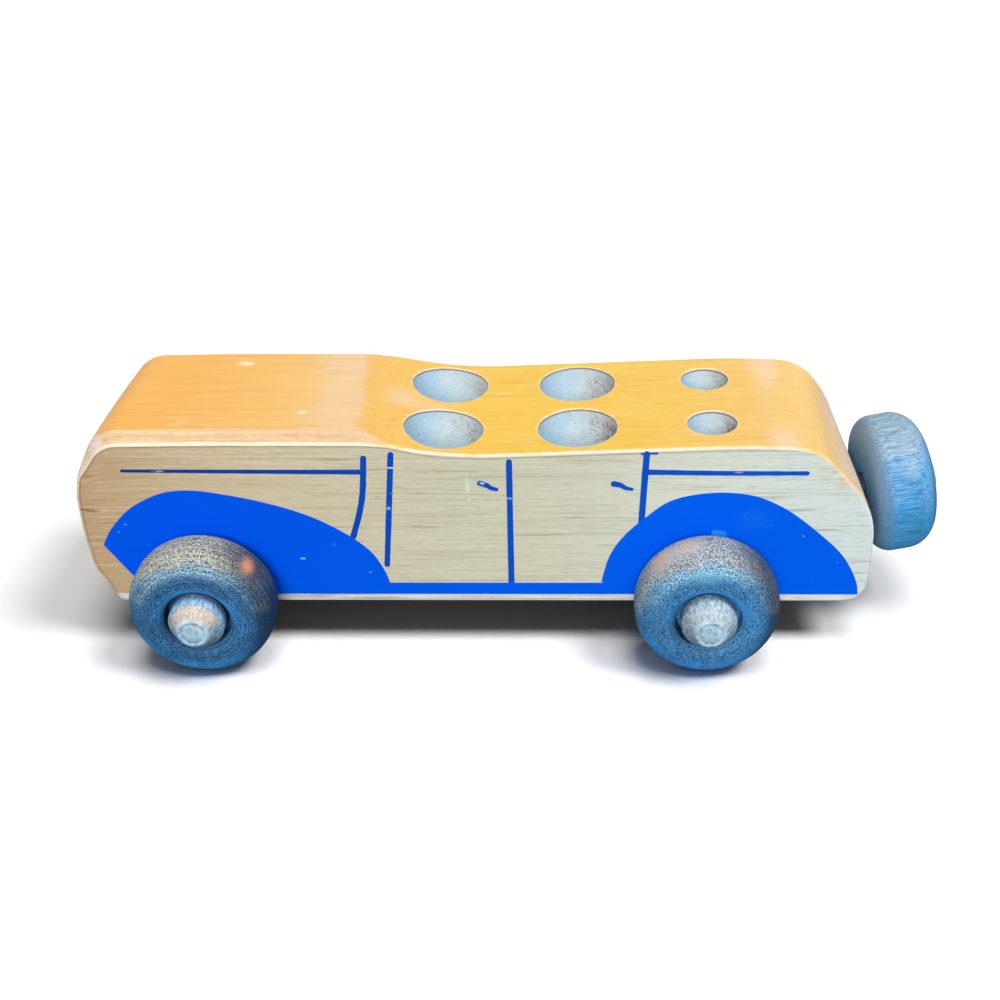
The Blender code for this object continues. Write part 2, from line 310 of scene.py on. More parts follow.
# %% Walk round the corners
ARC_STEP = math.radians(0.5)
OUTLINE_STEP_MM = 1.2


def corner_arc(before, corner, after, radius):
    """Points round a corner, from the end of one straight to the start of the next."""
    to_before = (before - corner).normalized()
    to_after = (after - corner).normalized()
    half = to_before.angle(to_after) / 2
    centre = corner + (to_before + to_after).normalized() * radius / math.sin(half)
    spoke = corner + to_before * radius / math.tan(half) - centre
    turn = -spoke.angle_signed(corner + to_after * radius / math.tan(half) - centre)
    steps = max(2, math.ceil(abs(turn) / ARC_STEP))
    return [centre + Matrix.Rotation(turn * step / steps, 2) @ spoke for step in range(steps + 1)]


def even_steps(points, step):
    """The same closed path walked at an even pace."""
    lengths = [(after - point).length for point, after in zip(points, points[1:] + points[:1])]
    count = round(sum(lengths) / step)
    walked, index, places = 0.0, 0, []
    for number in range(count):
        target = sum(lengths) * number / count
        while walked + lengths[index] < target:
            walked += lengths[index]
            index += 1
        places.append(points[index].lerp(points[(index + 1) % len(points)], (target - walked) / lengths[index]))
    return places


corners = [Vector(corner[:2]) for corner in OUTLINE_CORNERS_MM]
path = []
for number, (_, _, radius) in enumerate(OUTLINE_CORNERS_MM):
    path += corner_arc(corners[number - 1], corners[number], corners[(number + 1) % len(corners)], radius)
outline = even_steps(path, OUTLINE_STEP_MM)
print("outline points:", len(outline))

# %% Lean the saw
CREST_LEAN_MM = 4.7
LEAN_START_MM = 50.0
LEAN_FLOOR_MM = 45.0
NOSE_LEAN_MM = 2.6
NOSE_LEAN_UP_MM = (36.0, 54.0)
NOSE_LEAN_ALONG_MM = (45.0, 14.0)
TAIL_LEAN_MM = (-1.75, 1.8)
TAIL_LEAN_UP_MM = (14.0, 34.0, 51.5)
TAIL_LEAN_ALONG_MM = (217.0, 236.0)


def eased(share):
    """A share from 0 to 1 that starts and stops gently."""
    share = min(max(share, 0), 1)
    return share * share * (3 - 2 * share)


def ramp(value, start, end):
    """Eased from 0 at start to 1 at end."""
    return eased((value - start) / (end - start))


def crest_lean(point):
    """How far back a point of the outline lies on the left side, where the cowl leans."""
    if point.y < LEAN_FLOOR_MM:
        return 0.0
    share = min((point.x - LEAN_START_MM) / (HOOD_LENGTH_MM - LEAN_START_MM),
                (COWL_FOOT_MM - point.x) / (COWL_FOOT_MM - HOOD_LENGTH_MM))
    return CREST_LEAN_MM * max(share, 0.0)


def end_lean(point):
    """How far back a point of the outline lies on the right side, at the nose and the tail."""
    if point.x < HOOD_LENGTH_MM:
        return NOSE_LEAN_MM * ramp(point.y, *NOSE_LEAN_UP_MM) * ramp(point.x, *NOSE_LEAN_ALONG_MM)
    foot, belly, shoulder = TAIL_LEAN_UP_MM
    low, high = TAIL_LEAN_MM
    lean = low * ramp(point.y, foot, belly) + (high - low) * ramp(point.y, belly, shoulder)
    return lean * ramp(point.x, *TAIL_LEAN_ALONG_MM)


def leaned(point, across):
    """A point of the outline as the saw left it, at a distance across the block."""
    rightward = 0.5 + 0.5 * across / HALF_WIDTH
    lean = crest_lean(point) * (1 - rightward) + end_lean(point) * rightward ** 2
    return Vector((point.x + lean, point.y))


print("most lean on the left in mm:", round(max(crest_lean(point) for point in outline), 2))

# %% [markdown]
# ## How the edges are cut
#
# A broad bevel runs along each side of the hood. It was cut before the deck was sawn lower, so it runs out where the
# cowl drops, and it dies away down the nose. Everywhere else the edge is only eased. One formula gives both: a
# quarter of a stretched circle, whose power sets how full it is, near 1 for a flat bevel and 2 for a true round.

# %% Shape the edge
EDGE_ROUND_MM = (0.4, 1.0)
EDGE_FOOT_MM = (1.0, 7.0)
BEVEL_DEPTH_MM = 3.4
BEVEL_WIDTH_MM = 4.9
BEVEL_RUN_OUT_MM = 4.4
BEVEL_POWER = 1.15
ROUND_POWER = 2.0
NOSE_FADE_MM = (3.5, 23.5)
EDGE_STEPS = 10


def bevel_share(point):
    """How much of the hood's bevel is left at a point of the outline, from 0 to 1."""
    drop = HOOD_HEIGHT_MM - point.y
    if point.x < HOOD_LENGTH_MM / 2:
        return 1 - ramp(drop, *NOSE_FADE_MM)
    return max(1 - drop / BEVEL_RUN_OUT_MM, 0)


def edge_round(point):
    """The plain edge's radius in mm, crisper along the foot."""
    crisp, soft = EDGE_ROUND_MM
    return crisp + (soft - crisp) * ramp(point.y, *EDGE_FOOT_MM)


def edge_width(point):
    """How far in from the side the edge starts, in mm."""
    return max(edge_round(point), BEVEL_WIDTH_MM * bevel_share(point))


def edge_place(point, angle):
    """How far an edge has drawn in from the outline and from the side, at an angle from the side to the top."""
    share = bevel_share(point)
    depth = max(edge_round(point), BEVEL_DEPTH_MM * share)
    power = 2 / (ROUND_POWER + (BEVEL_POWER - ROUND_POWER) * share)
    return depth * (1 - math.sin(angle) ** power), edge_width(point) * (1 - max(math.cos(angle), 0) ** power)


hood_middle = Vector((HOOD_LENGTH_MM / 2, HOOD_HEIGHT_MM))
print("half way up the bevel:", [round(value, 2) for value in edge_place(hood_middle, math.pi / 4)])

# %% [markdown]
# ## Growing the block
#
# The block grows sideways from one face to the other. The first loop is the flat left face, and each extrude carries
# it a little further across, drawing in near the faces where the edges are cut. Two loops lie close inside each flat
# face, to carry a thin dark line along the edge. Numbers ride on every vertex for the finish to read: how much stain
# it took, how far that has faded, how far it has been rubbed bare and painted with a highlight, and how much darker it
# is.

# %% Rings of vertices


def place_of(along_mm, across, up_mm):
    """A place on the car, measured from the nose and the underside."""
    return Vector((block_low.x + along_mm * MM, across, block_low.z + up_mm * MM))


def next_ring(bm, ring, places):
    """Extrudes a closed ring of vertices and sets the new ring at its places."""
    edges = [bm.edges.get((ring[index - 1], ring[index])) for index in range(len(ring))]
    made = bmesh.ops.extrude_edge_only(bm, edges=edges)["geom"]
    fresh = {vert.co.to_tuple(): vert for vert in made if isinstance(vert, bmesh.types.BMVert)}
    grown = [fresh[vert.co.to_tuple()] for vert in ring]
    for vert, place in zip(grown, places):
        vert.co = place
    return grown


def first_ring(bm, places):
    """A closed ring of new vertices."""
    ring = [bm.verts.new(place) for place in places]
    for index in range(len(ring)):
        bm.edges.new((ring[index - 1], ring[index]))
    return ring


print("the nose's foot in metres:", place_of(OUTLINE_CORNERS_MM[0][0], 0, 0).to_tuple(4))

# %% Stations across the block
SPINE_MM = 1.0
SEAT_STRIP_MM = 29.6
SEAT_STRIPS = 16
DECK_RIM_MM = (30.0, 30.3)
FACE_RIM_MM = (0.7, 0.3)

inward = []
for number, point in enumerate(outline):
    along = outline[(number + 1) % len(outline)] - outline[number - 1]
    inward.append(Vector((along.y, -along.x)).normalized())

strip = (SEAT_STRIP_MM - SPINE_MM) / SEAT_STRIPS
half_stations = [SPINE_MM + strip * number for number in range(SEAT_STRIPS + 1)] + list(DECK_RIM_MM)
deck_half_mm = HALF_WIDTH / MM - EDGE_ROUND_MM[1]
across_shares = [-y / deck_half_mm for y in reversed(half_stations)] + [y / deck_half_mm for y in half_stations]
edge_steps = [(-rim, 0) for rim in FACE_RIM_MM]
edge_steps += [(step, math.pi / 2 * step / EDGE_STEPS) for step in range(EDGE_STEPS + 1)]
stations = [(-1, *step) for step in edge_steps] + [(0, share, None) for share in across_shares]
stations += [(1, *step) for step in reversed(edge_steps)]


def station_places(side, step, angle):
    """Where the outline's loop stands at one station: at a step round an edge, or at a share of the deck."""
    places = []
    for point, normal in zip(outline, inward):
        if side:
            drawn_in, from_side = edge_place(point, angle)
            drawn = point + normal * (drawn_in - min(step, 0))
            across = side * (HALF_WIDTH - from_side * MM)
        else:
            drawn = point
            across = step * (HALF_WIDTH - edge_width(point) * MM)
        drawn = leaned(drawn, across)
        places.append(place_of(drawn.x, across, drawn.y))
    return places


print("stations across:", len(stations))

# %% Extrude the block across its width
block_bm = bmesh.new()
WEAR_AND_LIGHT_LAYERS = ("stain", "peach", "rub_and_highlight", "darkening", "bore", "seat_shade_side")
for name in WEAR_AND_LIGHT_LAYERS:
    block_bm.verts.layers.float.new(name)
rings = [first_ring(block_bm, station_places(*stations[0]))]
block_bm.faces.new(rings[0])
for station in stations[1:]:
    rings.append(next_ring(block_bm, rings[-1], station_places(*station)))
block_bm.faces.new(rings[-1])
print("block loops:", len(rings), "vertices:", len(block_bm.verts))

# %% [markdown]
# ## Where hands and years have been, and where light is painted
#
# Stain covers the top, from the nose to the tail. It has faded along the bevel, before the crest of the cowl and
# round the tail, and it has gone altogether from the sharp lines where faces meet, whose pale lines are rubbed wood
# and painted highlight together. The pale ends at the nose and the tail are fading and painted light together. These
# are places on the block, so they are laid on its vertices, loop by loop, rather than drawn in the finish.

# %% Lay stain and wear on the vertices
STAIN_FOOT_MM = (2.0, 8.0)
TAIL_STAIN_FOOT_MM = (26.0, 44.0)
CREST_FADE_MM = (56.0, 84.0)
CREST_END_MM = (84.0, 91.0)
TAIL_FADE_MM = (213.0, 220.0, 223.0, 230.0)
TAIL_END_FADE_MM = (232.0, 249.0)
NOSE_END_FADE_MM = (13.0, 2.0)
TAIL_EDGE_FADE_MM = (222.0, 236.0)
NOSE_FADE_AND_LIGHT, CREST_FADED, TAIL_BAND_FADED, TAIL_END_FADE_AND_LIGHT = 0.9, 0.85, 0.3, 0.85
BEVEL_FADED_UP = ((0.0, 0.2), (0.85, 1.0))
LOW_LINE_UP, HIGH_LINE_UP = (0.2, 0.4), (0.75, 0.9)
PLAIN_LINE_UP = ((0.05, 0.25), (0.6, 1.0))
HIGH_LINE_RUB_AND_HIGHLIGHT, PLAIN_LINE_RUB_AND_HIGHLIGHT, PLAIN_TOP_LOST, NOSE_RUB, FOOT_RUB = 0.4, 0.75, 0.5, 0.6, 0.35
TAIL_EDGE_LOST = 0.6
BEVEL_DIRT = 0.4
RIM_RUB_AND_HIGHLIGHT = (0.0, 0.2)
STAIN_STEPS = (2, 3)
SAME_PLACE_MM = 0.01
stain_layer, peach_layer, rub_and_highlight_layer, darkening_layer = (block_bm.verts.layers.float[name] for name in WEAR_AND_LIGHT_LAYERS[:4])


def faded_stain(point):
    """How far the stain has faded at a point along the top, from 0 to 1; at the nose and the tail it is painted light
    as well.
    """
    if point.x < HOOD_LENGTH_MM / 2:
        return NOSE_FADE_AND_LIGHT * ramp(point.x, *NOSE_END_FADE_MM)
    if point.x < CREST_END_MM[1]:
        return CREST_FADED * ramp(point.x, *CREST_FADE_MM) * ramp(point.x, *reversed(CREST_END_MM))
    band = ramp(point.x, *TAIL_FADE_MM[:2]) * (1 - ramp(point.x, *TAIL_FADE_MM[2:]))
    return max(TAIL_BAND_FADED * band, TAIL_END_FADE_AND_LIGHT * ramp(point.x, *TAIL_END_FADE_MM))


def tail_edge(point):
    """How much of an edge's rubbing is left at a point, as it dies away round the tail."""
    return 1 - TAIL_EDGE_LOST * ramp(point.x, *TAIL_EDGE_FADE_MM)


def edge_wear(point, step):
    """Stain, fading, rubbing with a painted highlight, and darkening at a step of the edge, from 0 at the side to
    EDGE_STEPS at the top.
    """
    if step <= 0:
        return 0, 0, 0, 1 - ramp(point.x, *TAIL_EDGE_FADE_MM) if step == -FACE_RIM_MM[1] else 0
    share = bevel_share(point)
    up = step / EDGE_STEPS
    steps_to_stain = STAIN_STEPS[0] + STAIN_STEPS[1] * (1 - share)
    faded = share * ramp(up, *BEVEL_FADED_UP[0]) * (1 - ramp(up, *BEVEL_FADED_UP[1]))
    bevel_lines = max(1 - ramp(up, *LOW_LINE_UP), HIGH_LINE_RUB_AND_HIGHLIGHT * ramp(up, *HIGH_LINE_UP))
    plain_line = ramp(up, *PLAIN_LINE_UP[0]) * (1 - PLAIN_TOP_LOST * ramp(up, *PLAIN_LINE_UP[1])) * tail_edge(point)
    rub_and_highlight = share * bevel_lines + (1 - share) * PLAIN_LINE_RUB_AND_HIGHLIGHT * plain_line
    rub_and_highlight = max(rub_and_highlight, NOSE_RUB * ramp(point.x, *NOSE_END_FADE_MM))
    return min(step / steps_to_stain, 1), faded, rub_and_highlight, BEVEL_DIRT * faded


def deck_wear(point, share):
    """The same for the deck, which is rubbed and given a painted highlight only close to its rims."""
    from_spine = abs(share) * deck_half_mm
    rubs_and_highlights = [rub_and_highlight for rim, rub_and_highlight in zip(DECK_RIM_MM, RIM_RUB_AND_HIGHLIGHT) if abs(from_spine - rim) < SAME_PLACE_MM]
    return 1, 0, (1 - bevel_share(point)) * tail_edge(point) * max(rubs_and_highlights, default=0), 0


for ring, (side, step, _) in zip(rings, stations):
    for vert, point in zip(ring, outline):
        stain, peach, rub_and_highlight, darkening = edge_wear(point, step) if side else deck_wear(point, step)
        foot = ramp(point.y, *(STAIN_FOOT_MM if point.x < HOOD_LENGTH_MM else TAIL_STAIN_FOOT_MM))
        vert[stain_layer] = stain * foot
        vert[peach_layer] = max(peach, faded_stain(point) * stain)
        vert[rub_and_highlight_layer] = rub_and_highlight * (FOOT_RUB + (1 - FOOT_RUB) * foot)
        vert[darkening_layer] = darkening
print("most faded:", round(max(vert[peach_layer] for vert in block_bm.verts), 2))

# %% [markdown]
# ## Drilling the seats
#
# Six round seats were drilled straight down with flat-bottomed bits, the rear pair smaller for children. A Boolean
# would cut them too, but it leaves long slivers that shade badly on a curved deck. Here a square of the deck is
# taken out and its rim is extruded inwards to a circle and then down the wall, so the loops stay clean and the lip
# can be softened.

# %% Open the deck
PATCH_MARGIN_MM = (3.6, 1.6)
LEVEL_ENOUGH = 0.5
deck_line = [point for point in outline if point.x > HOOD_LENGTH_MM and point.y > LEAN_FLOOR_MM]


def deck_height(x, y):
    """The height of the deck at a place along and across the car, in the car's frame."""
    along_mm = (x - block_low.x) / MM
    leaning = [leaned(point, y) for point in deck_line]
    start, end = next(pair for pair in zip(leaning, leaning[1:]) if pair[0].x <= along_mm < pair[1].x)
    share = (along_mm - start.x) / (end.x - start.x)
    return block_low.z + (start.y + share * (end.y - start.y)) * MM


def upright(x, y):
    """Where a place behind the crest would lie if the cowl did not lean."""
    run = (COWL_FOOT_MM - HOOD_LENGTH_MM) * MM
    foot = block_low.x + COWL_FOOT_MM * MM
    most = CREST_LEAN_MM * MM * (0.5 - 0.5 * y / HALF_WIDTH)
    return x if x > foot else (x - most * foot / run) / (1 - most / run)


def open_deck(bm, centre, radius):
    """Takes a square out of the deck and gives its rim, in order round the centre."""
    reach = [radius + margin * MM for margin in PATCH_MARGIN_MM]
    patch = []
    for face in bm.faces:
        middle = face.calc_center_median()
        along, across = abs(upright(middle.x, middle.y) - centre.x), abs(middle.y - centre.y)
        if face.normal.z > LEVEL_ENOUGH and along < reach[0] and across < reach[1]:
            patch.append(face)
    bmesh.ops.delete(bm, geom=patch, context="FACES")
    rim = {vert for edge in bm.edges if edge.is_boundary for vert in edge.verts}
    return sorted(rim, key=lambda vert: math.atan2(vert.co.y - centre.y, vert.co.x - centre.x))


print("outline points along the deck:", len(deck_line))

# %% Shape a seat
SEAT_LIP_MM = 0.4
BIT_POINT_MM = (1.6, 1.2)
LIP_STEPS = 4
WALL_STEPS = 8
# The lip is pale as rubbed wood and as a painted highlight; the first rings under it carry a painted shadow.
LIP_RUBS_AND_HIGHLIGHTS = ((2.4, 0.0), (1.6, 0.1), (1.2, 0.45), (1.0, 0.6))
LIP_TOP_RUB_AND_HIGHLIGHT = 0.62
UNDER_LIP_SHADOW_RINGS = ((1.2, 0.6), (1.8, 0.6), (3.0, 1.0))
bore_layer, seat_shade_side_layer = (block_bm.verts.layers.float[name] for name in WEAR_AND_LIGHT_LAYERS[4:])


def seat_ring(bm, ring, centre, radius, height_of, stain=0.0, rub_and_highlight=0.0, bore=0.0):
    """The next ring of a seat, at a radius and a height, with what the finish reads from it."""
    outs = [Vector((vert.co.x - centre.x, vert.co.y - centre.y)).normalized() for vert in ring]
    places = []
    for out in outs:
        x, y = centre.x + out.x * radius, centre.y + out.y * radius
        places.append(Vector((x, y, height_of(x, y))))
    ring = next_ring(bm, ring, places)
    for vert, out in zip(ring, outs):
        vert[stain_layer] = stain
        vert[peach_layer] = 0.0
        vert[rub_and_highlight_layer] = rub_and_highlight
        vert[bore_layer] = bore
        # Which side of the wall the finish paints as lit and which as shaded.
        vert[seat_shade_side_layer] = 0.5 + 0.5 * out.x
    return ring


def drill_seat(bm, centre, floor_z, radius):
    """A round seat with a soft lip, pale as rubbed wood and painted highlight, a painted shadow under it, a straight
    wall and the mark of the bit's point.
    """
    lip = SEAT_LIP_MM * MM
    ring = open_deck(bm, centre, radius)
    for away, rub_and_highlight in LIP_RUBS_AND_HIGHLIGHTS:
        ring = seat_ring(bm, ring, centre, radius + away * lip, deck_height, 1.0, rub_and_highlight)
    for step in range(1, LIP_STEPS + 1):
        turn = math.pi / 2 * step / LIP_STEPS
        ring = seat_ring(bm, ring, centre, radius + lip * (1 - math.sin(turn)),
                         lambda x, y: deck_height(x, y) - lip * (1 - math.cos(turn)), 1.0, LIP_TOP_RUB_AND_HIGHLIGHT)
    for down, bore in UNDER_LIP_SHADOW_RINGS:
        ring = seat_ring(bm, ring, centre, radius, lambda x, y: deck_height(x, y) - down * lip, bore=bore)
    under_lip = UNDER_LIP_SHADOW_RINGS[-1][0] * lip
    for step in range(1, WALL_STEPS + 1):
        share = step / WALL_STEPS
        ring = seat_ring(bm, ring, centre, radius, bore=1.0, height_of=lambda x, y: (
            (deck_height(x, y) - under_lip) * (1 - share) + (floor_z + lip) * share))
    point_radius, point_depth = (size * MM for size in BIT_POINT_MM)
    for ring_radius, down in ((radius - lip, 0), (point_radius, 0), (point_radius / 8, point_depth)):
        ring = seat_ring(bm, ring, centre, ring_radius, lambda x, y: floor_z - down, bore=1.0)
    bm.faces.new(ring)


print("rings from the deck to a seat's floor:", len(LIP_RUBS_AND_HIGHLIGHTS) + LIP_STEPS + len(UNDER_LIP_SHADOW_RINGS) + WALL_STEPS)

# %% Drill the seats
SEAT_RADIUS_MM = 12.7
CHILD_SEAT_RADIUS_MM = 7.95
BOX_CLEARANCE_MM = 0.3
block_bm.normal_update()
bmesh.ops.recalc_face_normals(block_bm, faces=block_bm.faces)
for opening in frame["record"]["physics"]["openings"]:
    low, high = (Vector(corner) for corner in opening["box_m"])
    middle = (low + high) / 2
    middle.z = deck_height(middle.x, middle.y)
    wide = (high.x - low.x) / MM > SEAT_RADIUS_MM
    drill_seat(block_bm, middle, low.z - BOX_CLEARANCE_MM * MM,
               (SEAT_RADIUS_MM if wide else CHILD_SEAT_RADIUS_MM) * MM)
bmesh.ops.recalc_face_normals(block_bm, faces=block_bm.faces)
print("block vertices with seats:", len(block_bm.verts))

# %% [markdown]
# ## The grain
#
# Wood shows three scales at once along its length: broad streaks, thin growth lines that come and go, and fibres
# too fine to count. Each is noise drawn out along the car. The growth lines are where a slow noise crosses its middle
# value, as a contour on a map is.

# %% Grain and spots
GROWTH_LINE = 0.030
COMES_AND_GOES = (0.43, 0.66)
RAGGED_BY = 2.4


def contour(tree, value, width, strength=1.0):
    """Lines of a width and a strength where a slow noise crosses its middle value."""
    return fade(tree, sum_of(tree, "ABSOLUTE", about_zero(tree, value)), 0.0, width, strength, 0.0)


def grain_of(tree, place):
    """Streaks, growth lines and fibres that run along the car, as three sockets."""
    streaks = stretched_noise(tree, place, (22, 1200, 1200), 4.0, 0.62)
    ridges = stretched_noise(tree, place, (7, 400, 400), 2.0)
    shown = fade(tree, stretched_noise(tree, place, (36, 460, 460), 2.0), *COMES_AND_GOES)
    fibres = stretched_noise(tree, place, (170, 2600, 2600), 3.0, 0.75)
    return streaks, times(tree, contour(tree, ridges, GROWTH_LINE), shown), fibres


def spot(tree, place, ragged, centre_mm, size_mm, soft):
    """A mark of a size round a place from the nose, the middle and the underside, with a rim made ragged by noise."""
    centre = place_of(centre_mm[0], centre_mm[1] * MM, centre_mm[2])
    away = add(tree, "VectorMath", {0: place, 1: centre}, operation="SUBTRACT").outputs[0]
    sized = add(tree, "VectorMath", {0: away, 1: [2 / (MM * size) for size in size_mm]}, operation="MULTIPLY")
    reach = add(tree, "VectorMath", {0: sized.outputs[0]}, operation="LENGTH").outputs["Value"]
    rough = times(tree, about_zero(tree, ragged), RAGGED_BY)
    return fade(tree, plus(tree, reach, rough), 1 - soft, 1 + soft, 1.0, 0.0)


def marked(tree, place, ragged, colour, marks):
    """A colour with marks laid over it, each a tone, a strength, a centre, a size and a softness."""
    for tone, strength, *shape in marks:
        colour = blend_of(tree, times(tree, spot(tree, place, ragged, *shape), strength), colour, tone)
    return colour


print("a growth line's share of its noise:", GROWTH_LINE)

# %% [markdown]
# ## The block's finish
#
# The plank was varnished clear on its sides, stained orange over its top and left bare inside the seats, whose walls
# are painted paler as light and shaded on one side. The finish mixes those woods by the numbers on the vertices. Each
# border is broken up by noise, so that it wears raggedly, and a few marks that play has left are put at their own
# places.

# %% Tones along the block
SIDE_TONES = ((0, (204, 168, 121)), (60, (226, 210, 175)), (120, (223, 222, 194)),
              (160, (226, 227, 203)), (205, (234, 244, 230)), (255, (230, 249, 249)))
# At the nose and the tail the tones of the top and of the bare wood are partly painted light, which makes up for the
# shade on those curves.
TOP_TONES = ((0, (255, 206, 116)), (12, (240, 178, 86)), (30, (237, 178, 88)), (84, (238, 193, 114)),
             (88, (237, 187, 100)), (130, (238, 194, 74)), (185, (238, 196, 85)),
             (220, (237, 195, 110)), (238, (245, 204, 129)))
BARE_AND_LIT_TONES = ((0, (255, 236, 214)), (12, (248, 218, 178)), (84, (238, 206, 164)),
              (225, (244, 214, 176)), (236, (248, 224, 196)), (250, (238, 226, 214)))
TOP_MARKS = (
    ((252, 238, 208), 0.90, (46.8, 19.2, 62.5), (4.4, 2.6, 3.0), 0.7),
    ((250, 226, 182), 0.70, (71.7, -16.0, 62.5), (2.6, 2.6, 2.0), 0.7),
    ((248, 212, 156), 0.50, (32.4, -24.0, 62.2), (3.2, 2.0, 2.0), 0.8),
    ((248, 212, 156), 0.50, (34.9, -21.7, 62.3), (3.2, 2.0, 2.0), 0.8),
    ((241, 206, 172), 0.55, (101.5, 1.5, 58.8), (11.0, 11.0, 9.0), 0.9),
    ((241, 206, 172), 0.40, (110.0, -2.0, 57.0), (15.0, 6.0, 6.0), 0.9),
    ((243, 212, 178), 0.70, (223.0, 23.0, 58.6), (8.0, 20.0, 9.0), 0.8),
    ((243, 212, 178), 0.65, (224.4, -25.5, 58.6), (8.0, 15.0, 9.0), 0.8),
    ((250, 228, 222), 0.80, (8.4, -28.8, 57.6), (5.0, 6.0, 5.0), 0.5),
)
SIDE_MARKS = (
    ((220, 246, 232), 0.85, (124.5, -31.5, 44.4), (1.7, 3.0, 5.2), 0.3),
    ((220, 246, 232), 0.70, (124.7, -31.5, 39.5), (1.1, 3.0, 1.3), 0.3),
    ((104, 78, 54), 0.65, (1.8, -31.5, 35.6), (4.4, 5.0, 0.6), 0.5),
    ((104, 78, 54), 0.60, (4.4, -31.5, 35.0), (4.0, 5.0, 0.5), 0.5),
    ((126, 98, 70), 0.40, (5.4, -31.5, 48.0), (5.0, 5.0, 0.7), 0.8),
    ((150, 126, 108), 0.55, (70.0, -31.5, 1.7), (22.0, 5.0, 1.0), 0.8),
    ((150, 126, 108), 0.55, (92.0, -31.5, 1.2), (18.0, 5.0, 0.9), 0.8),
    ((158, 136, 118), 0.40, (126.0, -31.5, 1.6), (26.0, 5.0, 0.8), 0.8),
)
SPILT_STAIN = ((252.0, -31.5, 59.6), (33.0, 12.0, 33.0), 0.20)


def tones_along(tree, along, tones):
    """A colour that changes along the car, from tones at distances from the nose in mm."""
    share = add(tree, "MapRange", {"Value": along, "From Min": block_low.x, "From Max": block_high.x}).outputs[0]
    ramp_node = add(tree, "ValToRGB", {"Fac": share})
    elements = ramp_node.color_ramp.elements
    while len(elements) < len(tones):
        elements.new(0.5)
    for element, (along_mm, tone) in zip(elements, tones):
        element.position = along_mm / BODY_LENGTH_MM
        element.color = srgb(*tone)
    return ramp_node.outputs["Color"]


print("marks on the block:", len(TOP_MARKS) + len(SIDE_MARKS))

# %% Wood of the sides and the top
MARGIN_MM = (3.4, 2.2)
UNDERSIDE_MM = (0.25, 0.05)
DARK_STREAKS, PALE_STREAKS, DARK_FIBRES = (0.50, 0.72), (0.48, 0.28), (0.52, 0.72)


def side_wood(tree, along, up, streaks, lines, fibres):
    """Clear-varnished maple, brown at the nose, grey at the tail and the foot, and dark underneath to deepen the shade
    below.
    """
    margin, underside = ([block_low.z + height * MM for height in span] for span in (MARGIN_MM, UNDERSIDE_MM))
    wood = toned(tree, tones_along(tree, along, SIDE_TONES),
                 (up, *margin, 0.85, (246, 252, 255)),
                 (streaks, *DARK_STREAKS, 0.40, (178, 158, 122)),
                 (streaks, *PALE_STREAKS, 0.40, (246, 242, 226)),
                 (fibres, *DARK_FIBRES, 0.60, (172, 156, 124)),
                 (fibres, *PALE_STREAKS, 0.60, (252, 250, 240)))
    wood = blend_of(tree, times(tree, lines, 0.45), wood, (138, 120, 90))
    # Painted shade: the unseen underside is dark, so that less light bounces into the shadow under the car.
    return toned(tree, wood, (up, *underside, 0.85, (128, 106, 84)))


def top_wood(tree, place, along, streaks, lines, peach):
    """Orange stain with fine streaks, faded where hands have held it, and paler at the nose and the tail partly as
    painted light.
    """
    wood = toned(tree, tones_along(tree, along, TOP_TONES),
                 (streaks, *DARK_STREAKS, 0.48, (228, 148, 54)),
                 (streaks, *PALE_STREAKS, 0.45, (246, 214, 162)))
    wood = blend_of(tree, times(tree, lines, 0.28), wood, (200, 128, 56))
    bare = toned(tree, tones_along(tree, along, BARE_AND_LIT_TONES), (streaks, 0.35, 0.70, 0.8, (224, 184, 136)))
    cloud = stretched_noise(tree, place, (60, 160, 160), 4.0, 0.6)
    broken = sum_of(tree, "SUBTRACT", plus(tree, times(tree, streaks, 2.0), cloud), 1.5)
    return toned(tree, wood, (plus(tree, peach, broken), 0.25, 0.85, 0.92, bare))


print("pale margin along the foot in mm:", MARGIN_MM[0])

# %% Wood inside the seats
DECK_SLOPE = 0.04
BROWN_DOWN_MM, BROWN_ALONG_MM, BROWN_ACROSS_MM = (0.5, 5.0), (115, 165), (10, -10)


